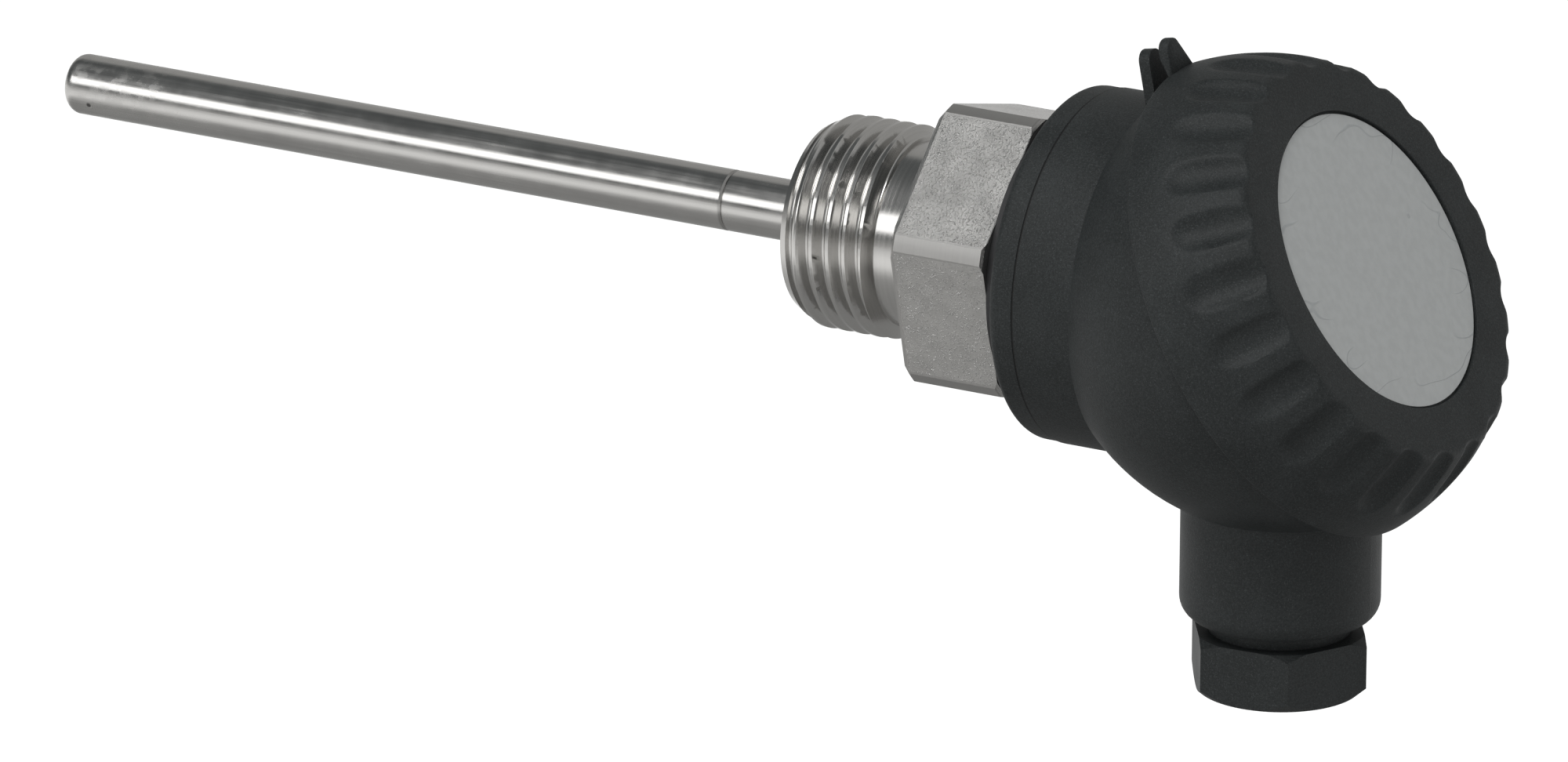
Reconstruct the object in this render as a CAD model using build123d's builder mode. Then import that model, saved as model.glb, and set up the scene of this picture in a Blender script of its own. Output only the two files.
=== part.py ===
"""Immersion temperature probe with a small moulded connection head, in millimetres.

A slim closed sheath carries the sensing chip. A hexagon fitting with a pipe thread holds the
sheath and, on its nipple, the head. The head is a ball-shaped housing with a short neck, a cable
gland below it and a fluted screw cap that looks up at an angle. Inside sits a two-pole terminal
block.

The origin is the centre of the hexagon's sealing face. +X runs along the probe towards the head
and +Z is up, away from the cable gland. The axes of probe, cap and gland meet in one point.
"""
import os
from math import cos, radians, sin, sqrt

from build123d import *

os.makedirs("parts", exist_ok=True)

# Clearances
BRAZE_GAP = 0.02
THREAD_CLEARANCE = 0.03
RUNNING_CLEARANCE = 0.06
FACE_CLEARANCE = 0.05
BODY_CLEARANCE = 0.3
LOOSE_CLEARANCE = 0.1

# Sheath
SHEATH_RADIUS = 3.0
SHEATH_WALL = 0.5
IMMERSION = 100.0
TIP_WALL = 1.0
TIP_ROUND = 1.3
SHEATH_SOCKET = 6.0
WELD_RING_FROM_FACE = 25.3
WELD_RING_WIDTH = 0.4
WELD_RING_DEPTH = 0.12

# Sensing chip, its sleeve, the heat-conducting filling and the potting at the sheath's mouth
CHIP_LENGTH = 2.3
CHIP_WIDTH = 2.0
CHIP_THICKNESS = 0.65
CHIP_BEAD_LENGTH = 1.0
CHIP_BEAD_THICKNESS = 0.55
SLEEVE_WALL = 0.35
SLEEVE_LENGTH = 14.0
FILLING_GAP = 0.01
FILLING_FLOOR = 0.5
FILLING_LENGTH = 9.0
POTTING_LENGTH = 5.0
POTTING_RECESS = 0.2

# Lead wires
LEAD_RADIUS = 0.5
LEAD_HALF_PITCH = 0.65
LEAD_STRAIGHT_PAST_NIPPLE = 1.2
LEAD_BEND = 3.0
LEAD_TAG_BEND = 1.1
LEAD_ON_TAG = 1.6
LEAD_BEHIND_TAG = 1.1

# Process fitting
THREAD_RADIUS = 20.955 / 2
THREAD_REACH = 15.0
THREAD_LEAD_IN_LENGTH = 2.0
THREAD_LEAD_IN_DEPTH = 1.1
RELIEF_LENGTH = 3.0
RELIEF_RADIUS = 9.2
RELIEF_SLOPE = 0.8
HEX_FLATS = 27.0
HEX_HEIGHT = 10.1
HEX_TURNED_RADIUS = 15.15
HEX_EDGE = 0.35
HEX_TURN = 44.5
NIPPLE_RADIUS = 8.0
NIPPLE_PAST_NUT = 1.1
NIPPLE_EDGE = 0.6
WIRE_BORE_RADIUS = 4.5

# Stack between hexagon and head
GASKET_RADIUS = 14.0
GASKET_THICKNESS = 1.8
COLLAR_RADIUS = 17.25
COLLAR_THICKNESS = 2.8
COLLAR_ROUND = 0.9
SEAM_EDGE = 0.15
NIPPLE_HOLE_CLEARANCE = 0.1

# Housing
HEAD_FROM_NECK = 20.3
CAP_TILT = 30.0
BALL_RADIUS = 22.4
WALL = 2.5
NECK_RADIUS = 17.35
NECK_FLOOR = 3.2
SEAM_HEIGHT = 0.2
SPIGOT_STEP = 2.2
SPIGOT_WALL = 2.0
SPIGOT_HEIGHT = 5.5
POST_RADIUS = 3.0

# Lock nut and washer inside the neck
LOCK_WASHER_RADIUS = 11.0
LOCK_WASHER_THICKNESS = 1.0
LOCK_NUT_FLATS = 20.0
LOCK_NUT_HEIGHT = 4.5
LOCK_NUT_EDGE = 0.5
NUT_ROOM = 0.7

# Sealing lugs, one on the housing and one on the cap, that line up when the cap is home
LUG_LEAN = 19.0
LUG_THICKNESS = 1.15
LUG_PITCH = 2.25
LUG_STEP = 1.0
LUG_RISE = 5.03
LUG_BELOW_SEAM = 1.7
LUG_NEAR_SIDE = 2.5
LUG_FLAT = 0.75
LUG_FAR_SIDE = 2.0
LUG_SLOPE_DROP = 3.4
LUG_REACH = 6.2
LUG_ROUND = 1.1

# Cable gland
BOSS_RADIUS = 9.7
BOSS_LENGTH = 9.5
BOSS_ROUND = 2.1
GLAND_THREAD_RADIUS = 7.6
GLAND_THREAD_DEPTH = 6.7
SEAL_BORE_RADIUS = 6.9
SEAL_IN_THREAD = 0.8
ENTRY_RADIUS = 4.2
SEAL_THICKNESS = 4.6
SEAL_HOLE_RADIUS = 3.5
SEAL_EDGE = 0.5
SLIP_WASHER_THICKNESS = 0.8
CABLE_HOLE_RADIUS = 4.25
SCREW_NECK_RADIUS = 6.95
SCREW_NECK_INSIDE = 0.5
SCREW_HEAD_GAP = 1.2
SCREW_HEX_FLATS = 16.0
SCREW_HEX_HEIGHT = 5.9
SCREW_HEX_TURN = 3.0
SCREW_OUTER_CHAMFER = 1.25
SCREW_OUTER_CHAMFER_HEIGHT = 1.1
SCREW_INNER_CHAMFER = 0.85
SCREW_INNER_CHAMFER_HEIGHT = 0.6
CABLE_HOLE_EDGE = 0.6

# Screw cap
CAP_OVERHANG = 1.9
CAP_TOP = 11.5
CAP_TOP_STEP = 3.65
CAP_TOP_ROUND = 0.9
CAP_TOP_WALL = 2.2
CAP_GASKET_THICKNESS = 1.2
TOP_RING_WIDTH = 5.85
LABEL_THICKNESS = 0.15
LABEL_RECESS = 0.45
LABEL_MARGIN = 0.25
FLUTES = 24
FLUTE_CUTTER_RADIUS = 2.9
FLUTE_DEPTH_AT_TOP = 1.15
FLUTE_END_HEIGHT = 4.6
FLUTE_PHASE = 2.4

# Terminal block
BLOCK_LENGTH = 13.0
BLOCK_OFFSET = -3.0
BLOCK_FOOT = -7.0
BLOCK_TOP = 2.4
EAR_MARGIN = 1.0
EAR_LENGTH = 6.7
EAR_WIDTH = 6.0
EAR_THICKNESS = 2.5
EAR_SCREW_FROM_END = 2.9
POLE_FROM_SIDE = 5.5
BAR_WIDTH = 5.0
BAR_THICKNESS = 2.2
BAR_TOP = 0.0
BAR_END_MARGIN = 0.5
TAG_OVERHANG = 1.0
CLAMP_OFFSET = -5.5
CLAMP_PLATE_SIDE = 4.8
CLAMP_PLATE_THICKNESS = 0.8
CLAMP_HEAD_RADIUS = 2.35
CLAMP_HEAD_HEIGHT = 1.8
CLAMP_SHANK_RADIUS = 1.25
CLAMP_SHANK_LENGTH = 5.4
CLAMP_WELL_DEPTH = 4.0
SLOT_WIDTH = 0.7
SLOT_DEPTH = 0.9
BLOCK_SCREW_RADIUS = 1.1
BLOCK_SCREW_LENGTH = 7.0
BLOCK_SCREW_HEAD_RADIUS = 2.1
BLOCK_SCREW_HEAD_HEIGHT = 1.5

# Widths that follow from the ball
spigot_radius = BALL_RADIUS - SPIGOT_STEP
mouth_radius = spigot_radius - SPIGOT_WALL
cavity_radius = BALL_RADIUS - WALL
cap_rim_radius = BALL_RADIUS + CAP_OVERHANG
cap_top_radius = cap_rim_radius - CAP_TOP_STEP
flute_floor_at_top = cap_top_radius - FLUTE_DEPTH_AT_TOP
label_radius = cap_top_radius - TOP_RING_WIDTH
ear_reach = mouth_radius - EAR_MARGIN
ear_screw_offset = ear_reach - EAR_SCREW_FROM_END
block_half_width = ear_reach - EAR_LENGTH
pole_offset = block_half_width - POLE_FROM_SIDE

# Stations along the probe
gasket_x = HEX_HEIGHT
collar_x = gasket_x + GASKET_THICKNESS
neck_x = collar_x + COLLAR_THICKNESS
floor_x = neck_x + NECK_FLOOR
nut_x = floor_x + LOCK_WASHER_THICKNESS
nipple_end_x = nut_x + LOCK_NUT_HEIGHT + NIPPLE_PAST_NUT
head_x = neck_x + HEAD_FROM_NECK
sheath_bore = SHEATH_RADIUS - SHEATH_WALL
nipple_hole_radius = NIPPLE_RADIUS + NIPPLE_HOLE_CLEARANCE

# Planes and axes of the head
cap_up = Vector(-sin(radians(CAP_TILT)), 0, cos(radians(CAP_TILT)))
cap_out = Vector(cos(radians(CAP_TILT)), 0, sin(radians(CAP_TILT)))
head_centre = Vector(head_x, 0, 0)
cap_plane = Plane(origin=head_centre, x_dir=cap_up, z_dir=cap_out)
cap_section = Plane(origin=head_centre, x_dir=cap_up, z_dir=(0, 1, 0))
cap_axis = Axis(head_centre, cap_out)
gland_plane = Plane(origin=head_centre, x_dir=(1, 0, 0), z_dir=(0, 0, -1))
gland_section = Plane(origin=head_centre, x_dir=(1, 0, 0), z_dir=(0, 1, 0))
gland_axis = Axis(head_centre, (0, 0, -1))

# Stations along the gland, measured down from the head's centre
boss_end = BALL_RADIUS + BOSS_LENGTH
thread_start = boss_end - GLAND_THREAD_DEPTH
seal_end = thread_start + SEAL_IN_THREAD
shoulder_end = seal_end - SEAL_THICKNESS
washer_start = seal_end + FACE_CLEARANCE
washer_end = washer_start + SLIP_WASHER_THICKNESS
screw_start = washer_end + FACE_CLEARANCE
screw_neck_start = boss_end - SCREW_NECK_INSIDE
screw_hex_start = boss_end + SCREW_HEAD_GAP
screw_end = screw_hex_start + SCREW_HEX_HEIGHT


def cap_point(up: float, side: float, out: float) -> Vector:
    """A point in the model's frame from a place measured along the cap's own directions."""
    return head_centre + cap_up * up + Vector(0, side, 0) + cap_out * out


def save(piece: BuildPart, name: str) -> None:
    """Label a finished piece and write it to its own file."""
    piece.part.label = name
    export_step(piece.part, f"parts/{name}.step")


# Closed sheath with a fine weld ring
with BuildPart() as sheath_tube:
    with BuildSketch(Plane.XZ):
        with BuildLine():
            tip_arc_start = (-IMMERSION, SHEATH_RADIUS - TIP_ROUND)
            tip_arc_end = (-IMMERSION + TIP_ROUND, SHEATH_RADIUS)
            ring_start = -WELD_RING_FROM_FACE - WELD_RING_WIDTH / 2
            ring_end = -WELD_RING_FROM_FACE + WELD_RING_WIDTH / 2
            Line((-IMMERSION, 0), tip_arc_start)
            RadiusArc(tip_arc_start, tip_arc_end, TIP_ROUND)
            Polyline(
                tip_arc_end,
                (ring_start, SHEATH_RADIUS),
                (-WELD_RING_FROM_FACE, SHEATH_RADIUS - WELD_RING_DEPTH),
                (ring_end, SHEATH_RADIUS),
                (SHEATH_SOCKET, SHEATH_RADIUS),
                (SHEATH_SOCKET, sheath_bore),
                (-IMMERSION + TIP_WALL, sheath_bore),
                (-IMMERSION + TIP_WALL, 0),
                (-IMMERSION, 0),
            )
        make_face()
    revolve(axis=Axis.X)
save(sheath_tube, "sheath_tube")

# Heat-conducting filling, a cup between the chip's sleeve and the tip
filling_start = -IMMERSION + TIP_WALL + FILLING_GAP
sleeve_start = filling_start + FILLING_FLOOR + FILLING_GAP
sleeve_radius = sheath_bore - SLEEVE_WALL / 2
sleeve_bore = sleeve_radius - SLEEVE_WALL
with BuildPart() as heat_filling:
    with BuildSketch(Plane.XZ):
        with BuildLine():
            Polyline(
                (filling_start, 0),
                (filling_start, sheath_bore - FILLING_GAP),
                (filling_start + FILLING_LENGTH, sheath_bore - FILLING_GAP),
                (filling_start + FILLING_LENGTH, sleeve_radius + FILLING_GAP),
                (filling_start + FILLING_FLOOR, sleeve_radius + FILLING_GAP),
                (filling_start + FILLING_FLOOR, 0),
                close=True,
            )
        make_face()
    revolve(axis=Axis.X)
save(heat_filling, "heat_filling")

# Insulating sleeve round the chip and the first stretch of the leads
with BuildPart() as chip_sleeve:
    with BuildSketch(Plane.YZ.offset(sleeve_start)):
        Circle(sleeve_radius)
        Circle(sleeve_bore, mode=Mode.SUBTRACT)
    extrude(amount=SLEEVE_LENGTH)
save(chip_sleeve, "chip_sleeve")

# Sensing chip: a ceramic plate with a glass bead over its contacts
chip_start = sleeve_start + FILLING_GAP
chip_end = chip_start + CHIP_LENGTH
with BuildPart() as sensing_chip:
    with BuildSketch(Plane.YZ.offset(chip_start)):
        Rectangle(CHIP_WIDTH, CHIP_THICKNESS)
    extrude(amount=CHIP_LENGTH)
    with BuildSketch(Plane.YZ.offset(chip_end - CHIP_BEAD_LENGTH)):
        with Locations((0, CHIP_THICKNESS / 2 + CHIP_BEAD_THICKNESS / 2)):
            RectangleRounded(CHIP_WIDTH, CHIP_BEAD_THICKNESS, CHIP_BEAD_THICKNESS / 3)
    extrude(amount=CHIP_BEAD_LENGTH)
save(sensing_chip, "sensing_chip")

# Potting that closes the sheath's upper mouth round the two leads
potting_end = SHEATH_SOCKET - POTTING_RECESS
with BuildPart() as sheath_potting:
    with BuildSketch(Plane.YZ.offset(potting_end - POTTING_LENGTH)):
        Circle(sheath_bore - FILLING_GAP)
        with Locations((LEAD_HALF_PITCH, 0), (-LEAD_HALF_PITCH, 0)):
            Circle(LEAD_RADIUS + FILLING_GAP, mode=Mode.SUBTRACT)
    extrude(amount=POTTING_LENGTH)
save(sheath_potting, "sheath_potting")

# Process fitting: thread blank, relief, hexagon with turned corners and the nipple above it
with BuildPart() as process_fitting:
    with BuildSketch(Plane.YZ):
        RegularPolygon(HEX_FLATS / 2, 6, major_radius=False, rotation=HEX_TURN)
    extrude(amount=HEX_HEIGHT)
    with BuildSketch(Plane.XZ):
        with BuildLine():
            Polyline(
                (0, 0),
                (0, HEX_TURNED_RADIUS - HEX_EDGE),
                (HEX_EDGE, HEX_TURNED_RADIUS),
                (HEX_HEIGHT - HEX_EDGE, HEX_TURNED_RADIUS),
                (HEX_HEIGHT, HEX_TURNED_RADIUS - HEX_EDGE),
                (HEX_HEIGHT, 0),
                close=True,
            )
        make_face()
    revolve(axis=Axis.X, mode=Mode.INTERSECT)
    with BuildSketch(Plane.XZ):
        with BuildLine():
            Polyline(
                (-THREAD_REACH, 0),
                (-THREAD_REACH, THREAD_RADIUS - THREAD_LEAD_IN_DEPTH),
                (-THREAD_REACH + THREAD_LEAD_IN_LENGTH, THREAD_RADIUS),
                (-RELIEF_LENGTH - RELIEF_SLOPE, THREAD_RADIUS),
                (-RELIEF_LENGTH, RELIEF_RADIUS),
                (0, RELIEF_RADIUS),
                (HEX_HEIGHT / 2, NIPPLE_RADIUS),
                (nipple_end_x - NIPPLE_EDGE, NIPPLE_RADIUS),
                (nipple_end_x, NIPPLE_RADIUS - NIPPLE_EDGE),
                (nipple_end_x, 0),
                close=True,
            )
        make_face()
    revolve(axis=Axis.X)
    with BuildSketch(Plane.YZ.offset(-THREAD_REACH)):
        Circle(SHEATH_RADIUS + BRAZE_GAP)
    extrude(amount=THREAD_REACH + SHEATH_SOCKET + BRAZE_GAP, mode=Mode.SUBTRACT)
    with BuildSketch(Plane.YZ.offset(nipple_end_x)):
        Circle(WIRE_BORE_RADIUS)
    wire_bore_depth = nipple_end_x - SHEATH_SOCKET - BRAZE_GAP
    extrude(amount=-wire_bore_depth, mode=Mode.SUBTRACT)
save(process_fitting, "process_fitting")

# Flat gasket under the collar
with BuildPart() as base_gasket:
    with BuildSketch(Plane.YZ.offset(gasket_x)):
        Circle(GASKET_RADIUS)
        Circle(nipple_hole_radius, mode=Mode.SUBTRACT)
    extrude(amount=GASKET_THICKNESS)
save(base_gasket, "base_gasket")

# Collar ring with a rounded front edge and a fine seam against the neck
with BuildPart() as collar_ring:
    with BuildSketch(Plane.XZ):
        with BuildLine():
            round_start = (collar_x, COLLAR_RADIUS - COLLAR_ROUND)
            round_end = (collar_x + COLLAR_ROUND, COLLAR_RADIUS)
            Line((collar_x, nipple_hole_radius), round_start)
            RadiusArc(round_start, round_end, COLLAR_ROUND)
            Polyline(
                round_end,
                (neck_x - SEAM_EDGE, COLLAR_RADIUS),
                (neck_x, COLLAR_RADIUS - SEAM_EDGE),
                (neck_x, nipple_hole_radius),
                (collar_x, nipple_hole_radius),
            )
        make_face()
    revolve(axis=Axis.X)
save(collar_ring, "collar_ring")

# The hollow inside the housing: ball, mouth and nut room, less the neck's floor and the two posts
nut_room_radius = LOCK_NUT_FLATS / 2 / cos(radians(30)) + NUT_ROOM
mouth_depth = sqrt(cavity_radius**2 - mouth_radius**2)
with BuildPart() as cavity:
    with BuildSketch(cap_section):
        with BuildLine():
            Line((0, SPIGOT_HEIGHT), (mouth_radius, SPIGOT_HEIGHT))
            Line((mouth_radius, SPIGOT_HEIGHT), (mouth_radius, -mouth_depth))
            RadiusArc((mouth_radius, -mouth_depth), (0, -cavity_radius), cavity_radius)
            Line((0, -cavity_radius), (0, SPIGOT_HEIGHT))
        make_face()
    revolve(axis=cap_axis)
    with BuildSketch(Plane.YZ.offset(neck_x)):
        Circle(NECK_RADIUS)
    extrude(amount=NECK_FLOOR, mode=Mode.SUBTRACT)
    with BuildSketch(Plane.YZ.offset(floor_x)):
        Circle(nut_room_radius)
    extrude(amount=LOCK_WASHER_THICKNESS + LOCK_NUT_HEIGHT)
    with BuildSketch(cap_plane.offset(BLOCK_FOOT)):
        with Locations((BLOCK_OFFSET, ear_screw_offset), (BLOCK_OFFSET, -ear_screw_offset)):
            Circle(POST_RADIUS)
    extrude(amount=-cavity_radius, mode=Mode.SUBTRACT)

# Outline of a sealing lug: a steep near edge, a short flat top and a long far slope
lug_out = cap_out * cos(radians(LUG_LEAN)) - cap_up * sin(radians(LUG_LEAN))
lug_up = cap_out * sin(radians(LUG_LEAN)) + cap_up * cos(radians(LUG_LEAN))
housing_lug_top = cap_point(BALL_RADIUS + LUG_RISE, 0, SEAM_HEIGHT - LUG_BELOW_SEAM)
cap_lug_top = housing_lug_top + lug_out * LUG_PITCH + lug_up * LUG_STEP
with BuildSketch() as lug_outline:
    with BuildLine():
        Polyline(
            (-LUG_NEAR_SIDE, -LUG_REACH),
            (-LUG_NEAR_SIDE, 0),
            (-LUG_NEAR_SIDE + LUG_ROUND + LUG_FLAT, 0),
            (LUG_FAR_SIDE, -LUG_SLOPE_DROP),
            (LUG_FAR_SIDE, -LUG_REACH),
            close=True,
        )
    make_face()
    fillet(lug_outline.vertices().group_by(Axis.Y)[-1], radius=LUG_ROUND)

# Housing: neck, ball, gland boss, threaded spigot for the cap, and its sealing lug
with BuildPart() as housing:
    with BuildSketch(Plane.YZ.offset(neck_x)):
        Circle(NECK_RADIUS)
    extrude(amount=HEAD_FROM_NECK)
    with Locations(Location(head_centre)):
        Sphere(BALL_RADIUS)
    with BuildSketch(Plane.YZ.offset(neck_x)):
        Circle(BALL_RADIUS)
    extrude(amount=-BALL_RADIUS, mode=Mode.SUBTRACT)
    with BuildSketch(gland_plane):
        Circle(BOSS_RADIUS)
    extrude(amount=boss_end)
    fillet(housing.edges().filter_by(GeomType.CIRCLE).sort_by(Axis.Z)[0], radius=BOSS_ROUND)
    with BuildSketch(cap_plane.offset(SEAM_HEIGHT)):
        Circle(BALL_RADIUS + NECK_RADIUS)
    extrude(amount=BALL_RADIUS + NECK_RADIUS, mode=Mode.SUBTRACT)
    with BuildSketch(Plane(origin=housing_lug_top, x_dir=(0, 1, 0), z_dir=lug_out)):
        add(lug_outline.sketch)
    extrude(amount=LUG_THICKNESS)
    with BuildSketch(cap_plane):
        Circle(spigot_radius)
    extrude(amount=SPIGOT_HEIGHT)
    add(cavity.part, mode=Mode.SUBTRACT)
    with BuildSketch(Plane.YZ.offset(neck_x)):
        Circle(nipple_hole_radius)
    extrude(amount=NECK_FLOOR, mode=Mode.SUBTRACT)
    with BuildSketch(gland_section):
        with BuildLine():
            Polyline(
                (0, cavity_radius - WALL),
                (ENTRY_RADIUS, cavity_radius - WALL),
                (ENTRY_RADIUS, shoulder_end),
                (SEAL_BORE_RADIUS, shoulder_end),
                (SEAL_BORE_RADIUS, thread_start),
                (GLAND_THREAD_RADIUS, thread_start),
                (GLAND_THREAD_RADIUS, boss_end),
                (0, boss_end),
                close=True,
            )
        make_face()
    revolve(axis=gland_axis, mode=Mode.SUBTRACT)
    with BuildSketch(cap_plane.offset(BLOCK_FOOT)):
        with Locations((BLOCK_OFFSET, ear_screw_offset), (BLOCK_OFFSET, -ear_screw_offset)):
            Circle(BLOCK_SCREW_RADIUS + THREAD_CLEARANCE)
    extrude(amount=-(BLOCK_SCREW_LENGTH - EAR_THICKNESS + LOOSE_CLEARANCE), mode=Mode.SUBTRACT)
save(housing, "housing")

# Lock washer and lock nut that hold the head on the nipple
with BuildPart() as lock_washer:
    with BuildSketch(Plane.YZ.offset(floor_x)):
        Circle(LOCK_WASHER_RADIUS)
        Circle(nipple_hole_radius, mode=Mode.SUBTRACT)
    extrude(amount=LOCK_WASHER_THICKNESS)
save(lock_washer, "lock_washer")

with BuildPart() as lock_nut:
    with BuildSketch(Plane.YZ.offset(nut_x)):
        RegularPolygon(LOCK_NUT_FLATS / 2, 6, major_radius=False)
    extrude(amount=LOCK_NUT_HEIGHT)
    with BuildSketch(Plane.XZ):
        with BuildLine():
            nut_corner = LOCK_NUT_FLATS / 2 / cos(radians(30))
            nut_end = nut_x + LOCK_NUT_HEIGHT
            Polyline(
                (nut_x, 0),
                (nut_x, nut_corner),
                (nut_end - LOCK_NUT_EDGE, nut_corner),
                (nut_end, nut_corner - 2 * LOCK_NUT_EDGE),
                (nut_end, 0),
                close=True,
            )
        make_face()
    revolve(axis=Axis.X, mode=Mode.INTERSECT)
    with BuildSketch(Plane.YZ.offset(nut_x)):
        Circle(NIPPLE_RADIUS + THREAD_CLEARANCE)
    extrude(amount=LOCK_NUT_HEIGHT, mode=Mode.SUBTRACT)
save(lock_nut, "lock_nut")

# Gland: rubber seal, slip washer and the hexagon pressure screw
with BuildPart() as gland_seal:
    with BuildSketch(gland_section):
        with BuildLine():
            seal_radius = SEAL_BORE_RADIUS - THREAD_CLEARANCE
            Polyline(
                (SEAL_HOLE_RADIUS, shoulder_end),
                (seal_radius - SEAL_EDGE, shoulder_end),
                (seal_radius, shoulder_end + SEAL_EDGE),
                (seal_radius, seal_end),
                (SEAL_HOLE_RADIUS, seal_end),
                close=True,
            )
        make_face()
    revolve(axis=gland_axis)
save(gland_seal, "gland_seal")

with BuildPart() as slip_washer:
    with BuildSketch(gland_plane.offset(washer_start)):
        Circle(SEAL_BORE_RADIUS - RUNNING_CLEARANCE)
        Circle(CABLE_HOLE_RADIUS, mode=Mode.SUBTRACT)
    extrude(amount=SLIP_WASHER_THICKNESS)
save(slip_washer, "slip_washer")

with BuildPart() as pressure_screw:
    with BuildSketch(gland_plane.offset(screw_hex_start)):
        RegularPolygon(SCREW_HEX_FLATS / 2, 6, major_radius=False, rotation=-SCREW_HEX_TURN)
    extrude(amount=SCREW_HEX_HEIGHT)
    with BuildSketch(gland_section):
        with BuildLine():
            screw_corner = SCREW_HEX_FLATS / 2 / cos(radians(30))
            Polyline(
                (0, screw_hex_start),
                (screw_corner - SCREW_INNER_CHAMFER, screw_hex_start),
                (screw_corner, screw_hex_start + SCREW_INNER_CHAMFER_HEIGHT),
                (screw_corner, screw_end - SCREW_OUTER_CHAMFER_HEIGHT),
                (screw_corner - SCREW_OUTER_CHAMFER, screw_end),
                (0, screw_end),
                close=True,
            )
        make_face()
    revolve(axis=gland_axis, mode=Mode.INTERSECT)
    with BuildSketch(gland_section):
        with BuildLine():
            Polyline(
                (0, screw_start),
                (GLAND_THREAD_RADIUS - RUNNING_CLEARANCE, screw_start),
                (GLAND_THREAD_RADIUS - RUNNING_CLEARANCE, screw_neck_start),
                (SCREW_NECK_RADIUS, screw_neck_start),
                (SCREW_NECK_RADIUS, screw_hex_start),
                (0, screw_hex_start),
                close=True,
            )
        make_face()
    revolve(axis=gland_axis)
    with BuildSketch(gland_plane.offset(screw_start)):
        Circle(CABLE_HOLE_RADIUS)
    extrude(amount=screw_end - screw_start, mode=Mode.SUBTRACT)
    chamfer(
        pressure_screw.edges().filter_by(GeomType.CIRCLE).group_by(Axis.Z)[0].sort_by(SortBy.RADIUS)[0],
        length=CABLE_HOLE_EDGE,
    )
save(pressure_screw, "pressure_screw")

# Cap gasket, seated in the cap over the spigot's end
gasket_start = SPIGOT_HEIGHT + FACE_CLEARANCE
gasket_end = gasket_start + CAP_GASKET_THICKNESS
cap_bore = spigot_radius + RUNNING_CLEARANCE
with BuildPart() as cap_gasket:
    with BuildSketch(cap_plane.offset(gasket_start)):
        Circle(spigot_radius)
        Circle(mouth_radius, mode=Mode.SUBTRACT)
    extrude(amount=CAP_GASKET_THICKNESS)
save(cap_gasket, "cap_gasket")

# Screw cap: a crowned shell with flutes that run out of its top edge and fade above the rim
cap_rim = SEAM_HEIGHT + BODY_CLEARANCE
cap_shoulder = gasket_end + FACE_CLEARANCE
cap_ceiling = CAP_TOP - CAP_TOP_WALL
crown_drop = CAP_TOP - CAP_TOP_ROUND - cap_rim
crown_centre = cap_rim + crown_drop / 2 - (cap_rim_radius**2 - cap_top_radius**2) / (2 * crown_drop)
crown_radius = sqrt(cap_rim_radius**2 + (cap_rim - crown_centre) ** 2)
flute_end_radius = sqrt(crown_radius**2 - (FLUTE_END_HEIGHT - crown_centre) ** 2)
flute_run = Vector(flute_end_radius - flute_floor_at_top, FLUTE_END_HEIGHT - CAP_TOP)
flute_tilt = flute_run.get_angle(Vector(0, -1))
flute_middle = Vector(flute_floor_at_top, CAP_TOP) + flute_run / 2
cutter_middle = flute_middle + Vector(-flute_run.Y, flute_run.X).normalized() * FLUTE_CUTTER_RADIUS
with BuildPart() as screw_cap:
    with BuildSketch(cap_section):
        with BuildLine():
            rim_edge_start = (cap_rim_radius, cap_rim)
            crown_end = (cap_top_radius, CAP_TOP - CAP_TOP_ROUND)
            RadiusArc(rim_edge_start, crown_end, -crown_radius)
            Polyline(
                crown_end,
                (cap_top_radius - CAP_TOP_ROUND / 2, CAP_TOP),
                (label_radius + LABEL_MARGIN, CAP_TOP),
                (label_radius + LABEL_MARGIN, CAP_TOP - LABEL_RECESS),
                (0, CAP_TOP - LABEL_RECESS),
                (0, cap_ceiling),
                (mouth_radius, cap_ceiling),
                (mouth_radius, cap_shoulder),
                (cap_bore, cap_shoulder),
                (cap_bore, cap_rim),
                rim_edge_start,
            )
        make_face()
    revolve(axis=cap_axis)
    with Locations(cap_plane.offset(cutter_middle.Y).location):
        with PolarLocations(cutter_middle.X, FLUTES, start_angle=FLUTE_PHASE):
            Cylinder(
                FLUTE_CUTTER_RADIUS,
                2 * CAP_TOP,
                rotation=(0, -flute_tilt, 0),
                mode=Mode.SUBTRACT,
            )
    with BuildSketch(Plane(origin=cap_lug_top, x_dir=(0, 1, 0), z_dir=lug_out)):
        add(lug_outline.sketch)
    extrude(amount=LUG_THICKNESS)
    with BuildSketch(cap_plane.offset(cap_rim)):
        Circle(BALL_RADIUS + LUG_REACH)
    extrude(amount=-LUG_REACH, mode=Mode.SUBTRACT)
save(screw_cap, "screw_cap")

# Bare round label in the cap's recess
with BuildPart() as label_disc:
    with BuildSketch(cap_plane.offset(CAP_TOP - LABEL_RECESS)):
        Circle(label_radius)
    extrude(amount=LABEL_THICKNESS)
save(label_disc, "label_disc")

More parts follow.
